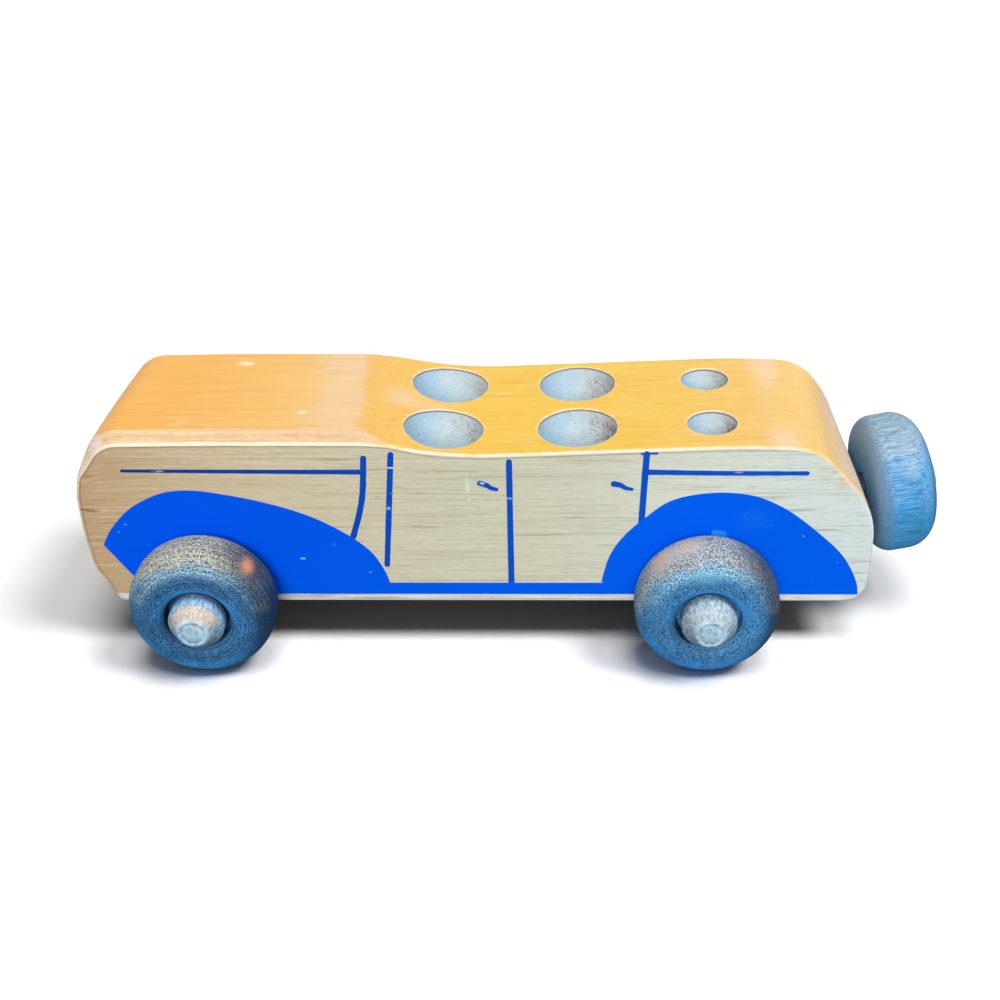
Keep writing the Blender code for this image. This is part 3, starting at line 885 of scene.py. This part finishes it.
def bore_wood(tree, place, split, bore, seat_shade_side):
    """Wood inside a seat, painted pale and bluish toward the nose as light, warmer toward the tail, with the rings
    that the bit left, brown end grain with painted shade low toward the tail and a painted shadow under the lip.
    """
    along, across, up = (split.outputs[axis] for axis in "XYZ")
    waves = add(tree, "TexWave", {"Vector": place, "Scale": 420.0, "Distortion": 5.0, "Detail": 3.0,
                                  "Detail Scale": 0.6}, bands_direction="Z").outputs["Fac"]
    cloud = stretched_noise(tree, place, (160, 160, 160), 3.0)
    speckle = stretched_noise(tree, place, (900, 900, 900), 3.0, 0.7)
    # Painted light and shade across the wall: pale and bluish toward the nose, warmer and browner toward the tail.
    side = plus(tree, seat_shade_side, times(tree, about_zero(tree, cloud), 0.7))
    wood = blend_of(tree, fade(tree, side, 0.15, 0.6), (188, 226, 250), (228, 240, 240))
    wood = toned(tree, wood,
                 (side, 0.55, 0.95, 0.80, (228, 218, 204)),
                 (waves, 0.60, 0.95, 0.34, (136, 154, 170)),
                 (waves, 0.40, 0.00, 0.50, (236, 246, 250)),
                 (speckle, 0.56, 0.72, 0.35, (136, 146, 154)),
                 (speckle, 0.46, 0.30, 0.50, (242, 248, 250)))
    level = sum_of(tree, "SUBTRACT", up, times(tree, along, DECK_SLOPE))
    rim = block_low.z + DECK_FOOT_MM * MM - (block_low.x + COWL_FOOT_MM * MM) * DECK_SLOPE
    brown = fade(tree, plus(tree, side, speckle), 1.15, 1.65)
    brown = times(tree, brown, fade(tree, level, *(rim - down * MM for down in BROWN_DOWN_MM)))
    brown = times(tree, brown, fade(tree, along, *(block_low.x + far * MM for far in BROWN_ALONG_MM), 0.6, 1.0))
    brown = times(tree, brown, fade_mm(tree, across, BROWN_ACROSS_MM, 0.55, 1.0))
    wood = blend_of(tree, brown, wood, (134, 88, 74))
    # Painted shadow: a dark band just under the lip.
    under_lip = times(tree, fade(tree, bore, 0.35, 0.55), fade(tree, bore, 0.95, 0.7))
    return blend_of(tree, times(tree, under_lip, 0.75), wood, (120, 94, 76))


print("the brown is full this deep in mm:", BROWN_DOWN_MM[1])

# %% Mix the maple


def block_finish():
    """Maple: stained on top, clear on the sides, pale in the seats as painted light, and rubbed bare along the edges
    with a painted highlight.
    """
    finish, tree, shader = new_finish("stained_maple")
    place = add(tree, "TexCoord").outputs["Object"]
    split = add(tree, "SeparateXYZ", {0: place})
    along, up = split.outputs["X"], split.outputs["Z"]
    stain, peach, rub_and_highlight, darkening, bore, seat_shade_side = (add(tree, "Attribute", attribute_name=name).outputs["Fac"]
                                          for name in WEAR_AND_LIGHT_LAYERS)
    streaks, lines, fibres = grain_of(tree, place)
    ragged = stretched_noise(tree, place, (300, 620, 620), 4.0, 0.65)

    stained = fade(tree, plus(tree, stain, times(tree, ragged, 0.3)), 0.55, 0.75)
    spilt = times(tree, spot(tree, place, ragged, *SPILT_STAIN), 0.5)
    side_tone = marked(tree, place, ragged, side_wood(tree, along, up, streaks, lines, fibres), SIDE_MARKS)
    top_tone = marked(tree, place, ragged, top_wood(tree, place, along, streaks, lines, peach), TOP_MARKS)
    colour = blend_of(tree, sum_of(tree, "MAXIMUM", stained, spilt), side_tone, top_tone)
    colour = blend_of(tree, times(tree, darkening, ragged), colour, (104, 82, 58))
    worn_and_highlit = fade(tree, plus(tree, rub_and_highlight, ragged), 0.9, 1.25)
    colour = toned(tree, colour, (bore, 0.2, 0.4, 1.0, bore_wood(tree, place, split, bore, seat_shade_side)))
    # Pale lines along the edges and the seats' lips: rubbed wood and painted highlight together.
    colour = blend_of(tree, worn_and_highlit, colour, (240, 224, 202))
    fibre_tone = add(tree, "ValToRGB", {"Fac": fibres}).outputs["Color"]
    colour = blend_of(tree, 0.28, colour, fibre_tone, "OVERLAY")

    rough = plus(tree, fade(tree, worn_and_highlit, 0.0, 1.0, 0.46, 0.62), times(tree, fibres, 0.12))
    height = sum_of(tree, "SUBTRACT", times(tree, fibres, 0.6), lines)
    surface(tree, shader, colour, rough, (height, 0.22, 0.2), 0.35)
    return finish


stained_maple = block_finish()
print("nodes in the maple:", len(stained_maple.node_tree.nodes))

# %% Finish the block
SHARP_ANGLE = math.radians(40)


def finished_piece(bm, name, finish, body, node):
    """Closes a bmesh into a named piece that rides on a body, with smooth shading up to a sharp angle."""
    mesh = bpy.data.meshes.new(name)
    bm.to_mesh(mesh)
    bm.free()
    mesh.materials.append(finish)
    mesh.shade_smooth()
    mesh.set_sharp_from_angle(angle=SHARP_ANGLE)
    piece = bpy.data.objects.new(name, mesh)
    bpy.context.scene.collection.objects.link(piece)
    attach(piece, body)
    if node:
        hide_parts(node)
    print(name, "triangles:", sum(len(face.vertices) - 2 for face in mesh.polygons))
    return piece


block = finished_piece(block_bm, "maple_block", stained_maple, "car_body", "body_block")
weighted = block.modifiers.new("flat_faces_stay_flat", "WEIGHTED_NORMAL")
weighted.keep_sharp = True

# %% [markdown]
# ## The wheels
#
# Each wheel was turned from a stick: a fat round tyre, a dished middle for the peg's head and a bore. A lathe is a
# spin, so the wheel is a profile spun about its axle. Each vertex keeps its own place on the wheel as an attribute,
# so that one finish follows every wheel wherever it stands and however it has turned. A second attribute keeps the
# way each vertex faces as the car stands, so that the finishes can paint light on the faces turned up and down and
# shade on the faces turned back.

# %% Shape the wheels
WHEEL_RADIUS_MM = 23.4
WHEEL_WIDTH_MM = 20.5
TYRE_OUTER_ROUND_MM = 9.0
TYRE_INNER_ROUND_MM = 7.5
SPARE_INNER_ROUND_MM = 6.0
DISH_RADIUS_MM = 10.65
DISH_DEPTH_MM = 6.6
DISH_LIP_DROP_MM = 1.2
DISH_LIP_ROUND_MM = 0.8
BORE_RADIUS_MM = 4.75
WHEEL_STEPS = 144


def round_corner(centre, radius, start_degrees, end_degrees, steps):
    """Points of an arc in a profile of radius and height."""
    points = []
    for step in range(steps + 1):
        angle = math.radians(start_degrees + (end_degrees - start_degrees) * step / steps)
        points.append((centre[0] + radius * math.cos(angle), centre[1] + radius * math.sin(angle)))
    return points


def turned(profile_mm, steps, closed, stand):
    """A bmesh spun from a profile about Z and stood in place, with each vertex's own place kept as an attribute."""
    bm = bmesh.new()
    verts = [bm.verts.new((radius * MM, 0, height * MM)) for radius, height in profile_mm]
    edges = [bm.edges.new(pair) for pair in zip(verts, verts[1:])]
    if closed:
        edges.append(bm.edges.new((verts[-1], verts[0])))
    bmesh.ops.spin(bm, geom=verts + edges, cent=(0, 0, 0), axis=(0, 0, 1), angle=2 * math.pi, steps=steps,
                   use_merge=True)
    bmesh.ops.remove_doubles(bm, verts=bm.verts, dist=0.001 * MM)
    bmesh.ops.recalc_face_normals(bm, faces=bm.faces)
    turning = bm.verts.layers.float_vector.new("turning")
    for vert in bm.verts:
        vert[turning] = vert.co
    bm.transform(stand)
    facing = bm.verts.layers.float_vector.new("facing")
    bm.normal_update()
    for vert in bm.verts:
        vert[facing] = vert.normal
    return bm


def wheel_profile(inner_round):
    """Radii and heights round half a wheel, from the bore's inner end out over the tyre and down into the dish."""
    face = WHEEL_WIDTH_MM / 2
    lip = face - DISH_LIP_DROP_MM
    profile = [(BORE_RADIUS_MM, -face), (DISH_RADIUS_MM, -face)]
    profile += round_corner((WHEEL_RADIUS_MM - inner_round, inner_round - face), inner_round, -90, 0, 14)
    profile += round_corner((WHEEL_RADIUS_MM - TYRE_OUTER_ROUND_MM, face - TYRE_OUTER_ROUND_MM),
                            TYRE_OUTER_ROUND_MM, 0, 100, 18)
    profile += round_corner((DISH_RADIUS_MM + DISH_LIP_ROUND_MM, lip - DISH_LIP_ROUND_MM),
                            DISH_LIP_ROUND_MM, 105, 180, 5)
    profile += round_corner((DISH_RADIUS_MM - DISH_LIP_ROUND_MM, face - DISH_DEPTH_MM + DISH_LIP_ROUND_MM),
                            DISH_LIP_ROUND_MM, 0, -90, 4)
    profile.append((BORE_RADIUS_MM, face - DISH_DEPTH_MM))
    return profile


def axle_frame(joint):
    """A matrix that stands a turned piece on a joint's axle, facing away from the block."""
    middle = Vector(joint["pos_m"])
    axis = Vector(joint["axis"]).normalized()
    if axis.dot(middle - (block_low + block_high) / 2) < 0:
        axis.negate()
    return Matrix.Translation(middle) @ axis.to_track_quat("Z", "Y").to_matrix().to_4x4()


print("points in a wheel's profile:", len(wheel_profile(TYRE_INNER_ROUND_MM)))

# %% [markdown]
# ## The wheels' finish
#
# The wheels were dipped in blue stain, which took unevenly on the open grain: dark in the pores and pale on the
# ridges, with the lathe's fine rings round the faces. The road wheels have lost most of it from the tread, which is
# bare grey wood, and a pale band runs along the shoulder below it; both are laid on the faces turned up, as wear and
# painted light together. The faces turned down take a brighter blue and the dish a paler one, as painted light, and
# the faces turned back and toward the block are darkened as painted shade. The spare, which never runs, shows streaks
# across its tread where it was wiped.

# %% Tones of the wheels
# Painted shade: a dark blue laid on faces turned back, on the side toward the block and on the pegs' shanks.
PAINTED_SHADE = (4, 28, 58)
# The low tones are painted light, a brighter blue on the faces turned down. The inner tone is painted shade on the
# side toward the block. The bare tread shows on the faces turned up, as wear and painted light together.
WHEEL_STAINS = {
    "front": {"dark": (10, 42, 78), "light": (70, 134, 184), "faded": (166, 206, 226),
              "low": ((20, 108, 230), (90, 202, 255)), "bare": ((52, 58, 60), (208, 210, 200)), "inner": PAINTED_SHADE,
              "bare_and_lit_up": (0.2, 0.7), "bare_most": 1.0,
              "rings": 0.25, "pores": (2500, 2500, 2000), "stipple": (0.43, 0.57)},
    "rear": {"dark": (20, 66, 116), "light": (92, 166, 218), "faded": (172, 222, 244),
             "low": ((20, 114, 255), (92, 204, 255)), "bare": ((60, 74, 90), (196, 204, 212)), "inner": PAINTED_SHADE,
             "bare_and_lit_up": (0.0, 0.5), "bare_most": 1.0,
             "rings": 0.12, "pores": (2500, 2500, 2000), "stipple": (0.43, 0.57)},
    "spare": {"dark": (40, 112, 172), "light": (88, 192, 255), "faded": (128, 194, 238),
              "low": ((50, 146, 244), (100, 210, 255)), "bare": ((110, 134, 150), (196, 216, 224)),
              "inner": (138, 144, 150), "bare_and_lit_up": (0.4, 1.0), "bare_most": 0.85,
              "rings": 0.05, "pores": (2400, 2400, 150), "stipple": (0.30, 0.70)},
}
# An orange chip on the front wheel; the two tan marks along the top of the rear tread and the pale cyan spot under
# them are painted highlights.
WHEEL_CHIP_AND_HIGHLIGHTS = (
    ((240, 154, 116), 0.75, (55.1, -44.4, 23.2), (3.4, 6.0, 3.8), 0.5),
    ((236, 190, 146), 0.55, (185.0, -43.0, 24.5), (8.0, 6.0, 7.0), 0.5),
    ((236, 194, 152), 0.45, (193.0, -42.6, 28.8), (9.0, 5.0, 5.0), 0.5),
    ((130, 216, 244), 0.25, (199.5, -52.4, 23.4), (7.0, 8.0, 3.0), 0.6),
)
print("kinds of wheel:", list(WHEEL_STAINS))

# %% Stain the wheels
DISH_EDGE_MM = (10.4, 11.6)
SHOULDER_MM = (16.5, 19.0)
TREAD_MM = (19.8, 21.6)
TREAD_DRIFT_MM = 6.0
INNER_SIDE_MM = (-4.0, -10.3)
CREASE = 0.028


def wheel_place(tree):
    """A wheel's own coordinates: the place, the radius and the height along the axle."""
    place = add(tree, "Attribute", attribute_name="turning").outputs["Vector"]
    split = add(tree, "SeparateXYZ", {0: place})
    flat = add(tree, "CombineXYZ", {"X": split.outputs["X"], "Y": split.outputs["Y"]})
    radius = add(tree, "VectorMath", {0: flat.outputs[0]}, operation="LENGTH").outputs["Value"]
    return place, radius, split.outputs["Z"]


def facing_of(tree):
    """How far a surface faces back and up as the car stands, as two sockets, by which light and shade are painted."""
    split = add(tree, "SeparateXYZ", {0: add(tree, "Attribute", attribute_name="facing").outputs["Vector"]})
    return split.outputs["X"], split.outputs["Z"]


def wheel_finish(kind):
    """Blue stain over open grain, rubbed to bare wood on the tread, with painted light and painted shade by the way
    each face turns.
    """
    finish, tree, shader = new_finish("blue_stain_" + kind)
    stain = WHEEL_STAINS[kind]
    place, radius, height = wheel_place(tree)
    backward, skyward = facing_of(tree)
    pores = stretched_noise(tree, place, stain["pores"], 3.0, 0.75)
    cloud = about_zero(tree, stretched_noise(tree, place, (110, 110, 110), 3.0))
    ring_place = add(tree, "CombineXYZ", {"X": radius, "Y": height}).outputs[0]
    rings = stretched_noise(tree, ring_place, (1700, 1700, 1), 2.0)
    mixed = plus(tree, times(tree, pores, 1 - stain["rings"]), times(tree, rings, stain["rings"]))
    stipple = fade(tree, mixed, *stain["stipple"])
    upward = plus(tree, skyward, cloud)

    blue = blend_of(tree, stipple, stain["dark"], stain["light"])
    # Painted light: the faces turned down take the brighter low blues.
    blue = toned(tree, blue, (upward, 0.1, -0.6, 0.9, blend_of(tree, stipple, *stain["low"])))
    # The pale shoulder band lies on the faces turned up: fading and painted light together.
    shoulder = times(tree, fade_mm(tree, radius, SHOULDER_MM), fade(tree, upward, 0.05, 0.40, 0.0, 0.9))
    blue = blend_of(tree, shoulder, blue, blend_of(tree, stipple, stain["dark"], stain["faded"]))
    # Bare wood on the tread, shown where the faces turn up: wear and painted light together.
    tread = fade_mm(tree, plus(tree, radius, times(tree, cloud, TREAD_DRIFT_MM * MM)), TREAD_MM)
    bare = times(tree, tread, fade(tree, upward, *stain["bare_and_lit_up"], 0.0, stain["bare_most"]))
    colour = blend_of(tree, bare, blue, blend_of(tree, stipple, *stain["bare"]))
    # Painted light: the dish is made paler than the face round it.
    colour = blend_of(tree, fade_mm(tree, radius, DISH_EDGE_MM, 0.3, 0.0), colour, stain["light"])
    # Painted shade: the faces turned back are darkened, and on the spare only its rim.
    painted_shade_behind = fade(tree, backward, 0.10, 0.75, 0.0, 0.80)
    if kind == "spare":
        wiped = stretched_noise(tree, place, (900, 900, 50), 3.0)
        colour = blend_of(tree, contour(tree, wiped, CREASE, 0.8), colour, stain["dark"])
        painted_shade_behind = times(tree, fade(tree, backward, 0.72, 0.90, 0.0, 0.55), fade(tree, backward, 0.995, 0.95))
    colour = blend_of(tree, painted_shade_behind, colour, PAINTED_SHADE)
    # Painted shade on the side toward the block; on the spare this grey is partly its paint.
    colour = blend_of(tree, fade_mm(tree, height, INNER_SIDE_MM, 0.0, 0.6), colour, stain["inner"])
    here = add(tree, "TexCoord").outputs["Object"]
    colour = marked(tree, here, fade(tree, mixed, 0.28, 0.72), colour, WHEEL_CHIP_AND_HIGHLIGHTS)
    surface(tree, shader, colour, fade(tree, pores, 0.3, 0.7, 0.72, 0.58), (mixed, 0.4, 0.3), 0.3)
    return finish


wheel_finishes = {kind: wheel_finish(kind) for kind in WHEEL_STAINS}
print("nodes in a wheel's stain:", len(wheel_finishes["front"].node_tree.nodes))

# %% Spin the wheels
for joint in frame["joints"]:
    node = joint["child"]
    kind = node.split("_")[0]
    profile = wheel_profile(SPARE_INNER_ROUND_MM if kind == "spare" else TYRE_INNER_ROUND_MM)
    finished_piece(turned(profile, WHEEL_STEPS, True, axle_frame(joint)), "turned_" + node, wheel_finishes[kind],
                   node, node)

# %% [markdown]
# ## The pegs
#
# The wheels run on headed pegs that are glued into the block. A head has a straight rim, a crown that slopes in and
# a small flat tip with a saw's ring on it, left bare and gone grey. It is spun like a wheel, with its shank, and set
# where the frame's own peg stands.

# %% Shape the pegs
PEG_HEAD_RADIUS_MM = 8.9
PEG_RIM_MM = 4.9
PEG_CROWN_MM = 4.9
PEG_TIP_RADIUS_MM = 4.95
PEG_SHANK_RADIUS_MM = 4.35
PEG_SHANK_MM = 39.4
PEG_BEVEL_MM = 0.8
PEG_ROUND_MM = 0.5
PEG_RIM_ROUND_MM = 0.7
PEG_SLOPE_MM = ((7.2, 6.75), (6.1, 8.3))
PEG_GROOVE_MM = 0.15
PEG_GROOVE_RADII_MM = (3.9, 3.6, 3.3)
PEG_STEPS = 96


def peg_profile():
    """Radii and heights of half a peg, from the shank's end up to the tip."""
    top = PEG_RIM_MM + PEG_CROWN_MM
    outer, middle, inner = PEG_GROOVE_RADII_MM
    profile = [(0, -PEG_SHANK_MM), (PEG_SHANK_RADIUS_MM - PEG_BEVEL_MM, -PEG_SHANK_MM)]
    profile += [(PEG_SHANK_RADIUS_MM, PEG_BEVEL_MM - PEG_SHANK_MM), (PEG_SHANK_RADIUS_MM, 0)]
    profile += round_corner((PEG_HEAD_RADIUS_MM - PEG_ROUND_MM, PEG_ROUND_MM), PEG_ROUND_MM, -90, 0, 3)
    profile += round_corner((PEG_HEAD_RADIUS_MM - PEG_RIM_ROUND_MM, PEG_RIM_MM - PEG_RIM_ROUND_MM),
                            PEG_RIM_ROUND_MM, 0, 50, 4)
    profile += PEG_SLOPE_MM
    profile += round_corner((PEG_TIP_RADIUS_MM - PEG_ROUND_MM, top - PEG_ROUND_MM), PEG_ROUND_MM, 40, 90, 4)
    profile += [(outer, top), (middle, top - PEG_GROOVE_MM), (inner, top), (0, top)]
    return profile


print("points in a peg's profile:", len(peg_profile()))

# %% Grey the pegs
# Two greys and two creams for each kind; the creams are painted light on the crown's faces turned up.
PEG_TONES = {
    "front": ((98, 136, 170), (164, 198, 222), (180, 168, 156), (214, 202, 188)),
    "rear": ((110, 136, 154), (182, 206, 220), (148, 162, 170), (190, 206, 216)),
    "spare": ((92, 122, 146), (160, 184, 202), (180, 166, 152), (214, 202, 188)),
}
TIP_PALE = (192, 234, 254)
CROWN_FROM_MM, TIP_FROM_MM, SHANK_FROM_MM = (5.2, 6.0), (8.5, 9.6), (-0.2, -1.0)


def peg_finish(kind):
    """Bare birch, gone grey, with painted light in cream on the crown's faces turned up and painted shade on the
    shank.
    """
    finish, tree, shader = new_finish("bare_birch_" + kind)
    greys, painted_light_creams = PEG_TONES[kind][:2], PEG_TONES[kind][2:]
    place, _, height = wheel_place(tree)
    skyward = facing_of(tree)[1]
    pores = stretched_noise(tree, place, (1100, 1100, 400), 4.0, 0.75)
    cloud = stretched_noise(tree, place, (240, 240, 240), 4.0, 0.65)
    stipple = fade(tree, pores, 0.38, 0.62)
    # Painted light: the crown's faces turned up take the creams.
    painted_light_up = fade(tree, plus(tree, skyward, cloud), 0.35, 0.95)
    crown_painted_light = times(tree, fade_mm(tree, height, CROWN_FROM_MM), painted_light_up)
    colour = blend_of(tree, crown_painted_light, blend_of(tree, stipple, *greys), blend_of(tree, stipple, *painted_light_creams))
    tip = times(tree, fade_mm(tree, height, TIP_FROM_MM, 0.0, 0.75), fade(tree, cloud, 0.36, 0.60))
    colour = blend_of(tree, tip, colour, TIP_PALE)
    # Painted shade on the shank, in the gap between the wheel and the block.
    colour = blend_of(tree, fade_mm(tree, height, SHANK_FROM_MM, 0.0, 0.9), colour, PAINTED_SHADE)
    surface(tree, shader, colour, fade(tree, pores, 0.3, 0.7, 0.7, 0.55), (pores, 0.35, 0.3), 0.3)
    return finish


peg_finishes = {kind: peg_finish(kind) for kind in PEG_TONES}
print("nodes in a peg's finish:", len(peg_finishes["front"].node_tree.nodes))

# %% Spin the pegs
for joint in frame["joints"]:
    wheel = joint["child"]
    node = wheel + "_peg" if wheel.startswith("spare") else wheel.replace("_wheel", "_axle_peg")
    stand = axle_frame(joint)
    outward = stand.to_3x3() @ Vector((0, 0, 1))
    tip = max(vert.co.dot(outward) for vert in frame["nodes"][node].data.vertices)
    head = tip - (PEG_RIM_MM + PEG_CROWN_MM) * MM
    stand.translation += outward * (head - stand.translation.dot(outward))
    finished_piece(turned(peg_profile(), PEG_STEPS, False, stand), "turned_" + node,
                   peg_finishes[wheel.split("_")[0]], "car_body", node)

# %% [markdown]
# ## The printed sides
#
# Fenders, running boards, door lines and handles were printed on each side in blue. A print is a film of paint, so it
# is made as one: each shape is an outline filled as a face and extruded to a film that stands a hair proud of the
# wood, each a little prouder than the last so that no two lie in one plane. Curved outlines are smooth curves through
# a few points.

# %% Write down the print
FRONT_FENDER_MM = ((5.5, 22.3), (9.1, 28.4), (15.3, 35.2), (21.7, 39.4), (28.5, 42.1), (37.0, 42.8), (48.2, 41.1),
                   (58.6, 38.6), (68.9, 35.2), (77.7, 31.0), (86.6, 25.0), (92.6, 19.0), (96.2, 12.0), (97.6, 7.3))
REAR_FENDER_MM = ((167.1, 7.3), (169.2, 16.4), (172.0, 22.5), (176.2, 28.1), (181.1, 32.9), (187.3, 38.2),
                  (194.5, 41.0), (204.5, 42.2), (213.3, 41.4), (219.2, 39.5), (226.9, 35.2), (235.5, 28.2),
                  (243.8, 20.2), (248.2, 13.9), (251.1, 7.5), (252.0, 2.8))
SILL_MM = 2.8
FENDER_FOOT_MM = (17.8, SILL_MM)
STROKES_MM = (
    (((16.2, 50.0), (34.0, 49.9), (53.0, 49.8), (72.0, 49.7), (91.4, 49.6)), 1.1, 1.7),
    (((92.4, 54.7), (91.3, 42.8), (89.6, 34.4), (86.9, 25.4)), 1.95, 1.95),
    (((101.0, 56.0), (99.1, 35.5), (97.1, 14.5)), 1.95, 1.8),
    (((137.8, 53.4), (137.7, 30.0), (137.6, 5.0)), 1.9, 2.0),
    (((180.7, 56.2), (180.2, 44.0), (179.7, 30.1)), 2.05, 2.05),
    (((179.2, 56.3), (184.0, 56.5)), 0.8, 0.7),
    (((181.1, 49.7), (206.0, 49.3), (231.1, 49.3)), 1.8, 1.5),
    (((128.5, 45.6), (130.4, 44.9), (132.0, 43.8), (133.7, 43.3)), 2.0, 1.2),
    (((170.7, 45.4), (172.8, 44.9), (174.4, 43.9), (176.4, 43.4)), 2.0, 1.1),
)
print("lines on a side:", len(STROKES_MM))

# %% Mix the blue
LINE_TONES = ((0, (22, 60, 138)), (60, (16, 72, 172)), (100, (12, 82, 204)), (255, (12, 94, 216)))
PRINT_MARKS = (
    ((226, 232, 232), 0.85, (99.9, -31.5, 51.2), (6.0, 6.0, 0.6), 0.3),
    ((180, 212, 244), 0.75, (99.0, -31.5, 36.2), (1.1, 6.0, 1.1), 0.4),
    ((190, 214, 240), 0.55, (137.7, -31.5, 40.0), (6.0, 6.0, 0.6), 0.4),
    ((198, 240, 238), 0.85, (129.2, -31.5, 45.6), (1.5, 6.0, 1.0), 0.4),
    ((190, 208, 228), 0.60, (27.6, -31.5, 49.9), (3.0, 6.0, 0.6), 0.4),
    ((190, 208, 228), 0.60, (209.6, -31.5, 49.6), (2.4, 6.0, 0.6), 0.4),
    ((70, 180, 255), 0.65, (204.6, -31.5, 26.4), (4.4, 6.0, 3.2), 0.5),
    ((40, 140, 250), 0.20, (216.0, -31.5, 32.0), (9.0, 6.0, 7.0), 0.8),
    ((130, 200, 255), 0.90, (69.8, -31.5, 17.0), (1.5, 6.0, 0.7), 0.4),
    ((60, 140, 255), 0.50, (80.4, -31.5, 22.6), (1.2, 6.0, 1.2), 0.5),
    ((130, 200, 255), 0.45, (91.4, -31.5, 11.5), (1.0, 6.0, 0.6), 0.4),
    ((130, 200, 255), 0.60, (167.4, -31.5, 7.6), (1.2, 6.0, 0.6), 0.4),
    ((110, 180, 255), 0.50, (13.9, -31.5, 30.1), (0.9, 6.0, 0.7), 0.4),
    ((110, 180, 255), 0.40, (11.2, -31.5, 27.2), (0.8, 6.0, 0.8), 0.4),
)


def print_finish():
    """Blue paint, even in the fenders and thinner in the lines, with chips and the wood's fibres under it."""
    finish, tree, shader = new_finish("blue_print")
    place = add(tree, "TexCoord").outputs["Object"]
    streaks, lines, fibres = grain_of(tree, place)
    along = add(tree, "SeparateXYZ", {0: place}).outputs["X"]
    ragged = stretched_noise(tree, place, (900, 900, 900), 3.0)
    blue = blend_of(tree, fade(tree, along, block_low.x, block_high.x), (0, 92, 250), (0, 103, 255))
    blue = toned(tree, blue, (streaks, 0.5, 0.8, 0.12, (0, 60, 190)))
    thin = add(tree, "Attribute", attribute_name="thin").outputs["Fac"]
    colour = blend_of(tree, thin, blue, tones_along(tree, along, LINE_TONES))
    colour = marked(tree, place, ragged, colour, PRINT_MARKS)
    chips = stretched_noise(tree, place, (520, 520, 520), 2.0)
    colour = toned(tree, colour, (chips, 0.77, 0.80, 1.0, (130, 190, 245)))
    rough = fade(tree, fibres, 0.2, 0.8, 0.42, 0.55)
    surface(tree, shader, colour, rough, (plus(tree, fibres, lines), 0.06, 0.2), 0.03)
    return finish


blue_print = print_finish()
print("nodes in the print:", len(blue_print.node_tree.nodes))

# %% Draw curves and lines
CURVE_STEPS = 8
CAP_STEPS = 6
WOBBLE = 0.10
WOBBLES_PER_MM = 0.5


def smooth_through(points, steps):
    """A Catmull-Rom curve through points, which leaves each one along the line between its neighbours."""
    points = [Vector(point) for point in points]
    padded = [2 * points[0] - points[1], *points, 2 * points[-1] - points[-2]]
    curve = []
    for before, start, end, after in zip(padded, padded[1:], padded[2:], padded[3:]):
        for step in range(steps):
            t = step / steps
            curve.append(0.5 * (2 * start + (end - before) * t + (2 * before - 5 * start + 4 * end - after) * t * t
                                + (3 * start - before - 3 * end + after) * t * t * t))
    return curve + [points[-1]]


def round_cap(middle, spoke):
    """The half circle that carries a spoke round a line's end."""
    turns = [-math.pi * step / CAP_STEPS for step in range(1, CAP_STEPS)]
    return [middle + Matrix.Rotation(turn, 2) @ spoke for turn in turns]


def stroke_outline(points, start_width, end_width):
    """A line drawn by hand along a path, with round ends and a width that wavers a little."""
    path = smooth_through(points, CURVE_STEPS)
    left, right, spokes = [], [], []
    for index, point in enumerate(path):
        ahead = path[min(index + 1, len(path) - 1)] - path[max(index - 1, 0)]
        waver = 1 + WOBBLE * noise.noise(Vector((*(point * WOBBLES_PER_MM), start_width)))
        width = (start_width + (end_width - start_width) * index / (len(path) - 1)) * waver
        spokes.append(Vector((-ahead.y, ahead.x)).normalized() * width / 2)
        left.append(point + spokes[-1])
        right.append(point - spokes[-1])
    return left + round_cap(path[-1], spokes[-1]) + list(reversed(right)) + round_cap(path[0], -spokes[0])


print("points round the first line:", len(stroke_outline(*STROKES_MM[0])))

# %% Lay the blue print
PRINT_PROUD = 0.04 * MM
PRINT_LAYER = 0.012 * MM
PRINT_SUNK = 0.15 * MM


def film(bm, outline_mm, side, layer, thin_ink):
    """A thin closed film of paint on one side of the block, in full or thin ink."""
    proud = PRINT_PROUD + layer * PRINT_LAYER
    thin = bm.verts.layers.float["thin"]
    verts = [bm.verts.new(place_of(point[0], side * (HALF_WIDTH + proud), point[1])) for point in outline_mm]
    for vert in verts:
        vert[thin] = thin_ink
    face = bm.faces.new(verts)
    made = bmesh.ops.extrude_face_region(bm, geom=[face])["geom"]
    moved = [vert for vert in made if isinstance(vert, bmesh.types.BMVert)]
    bmesh.ops.translate(bm, verts=moved, vec=(0, -side * (proud + PRINT_SUNK), 0))


for hand, side in (("left", -1), ("right", 1)):
    bm = bmesh.new()
    bm.verts.layers.float.new("thin")
    fenders = smooth_through(FRONT_FENDER_MM, CURVE_STEPS) + smooth_through(REAR_FENDER_MM, CURVE_STEPS)
    film(bm, fenders + [Vector(FENDER_FOOT_MM)], side, len(STROKES_MM), 0)
    for layer, (points, start_width, end_width) in enumerate(STROKES_MM):
        film(bm, stroke_outline(points, start_width, end_width), side, layer, 1)
    bmesh.ops.recalc_face_normals(bm, faces=bm.faces)
    finished_piece(bm, hand + "_side_print", blue_print, "car_body", None)
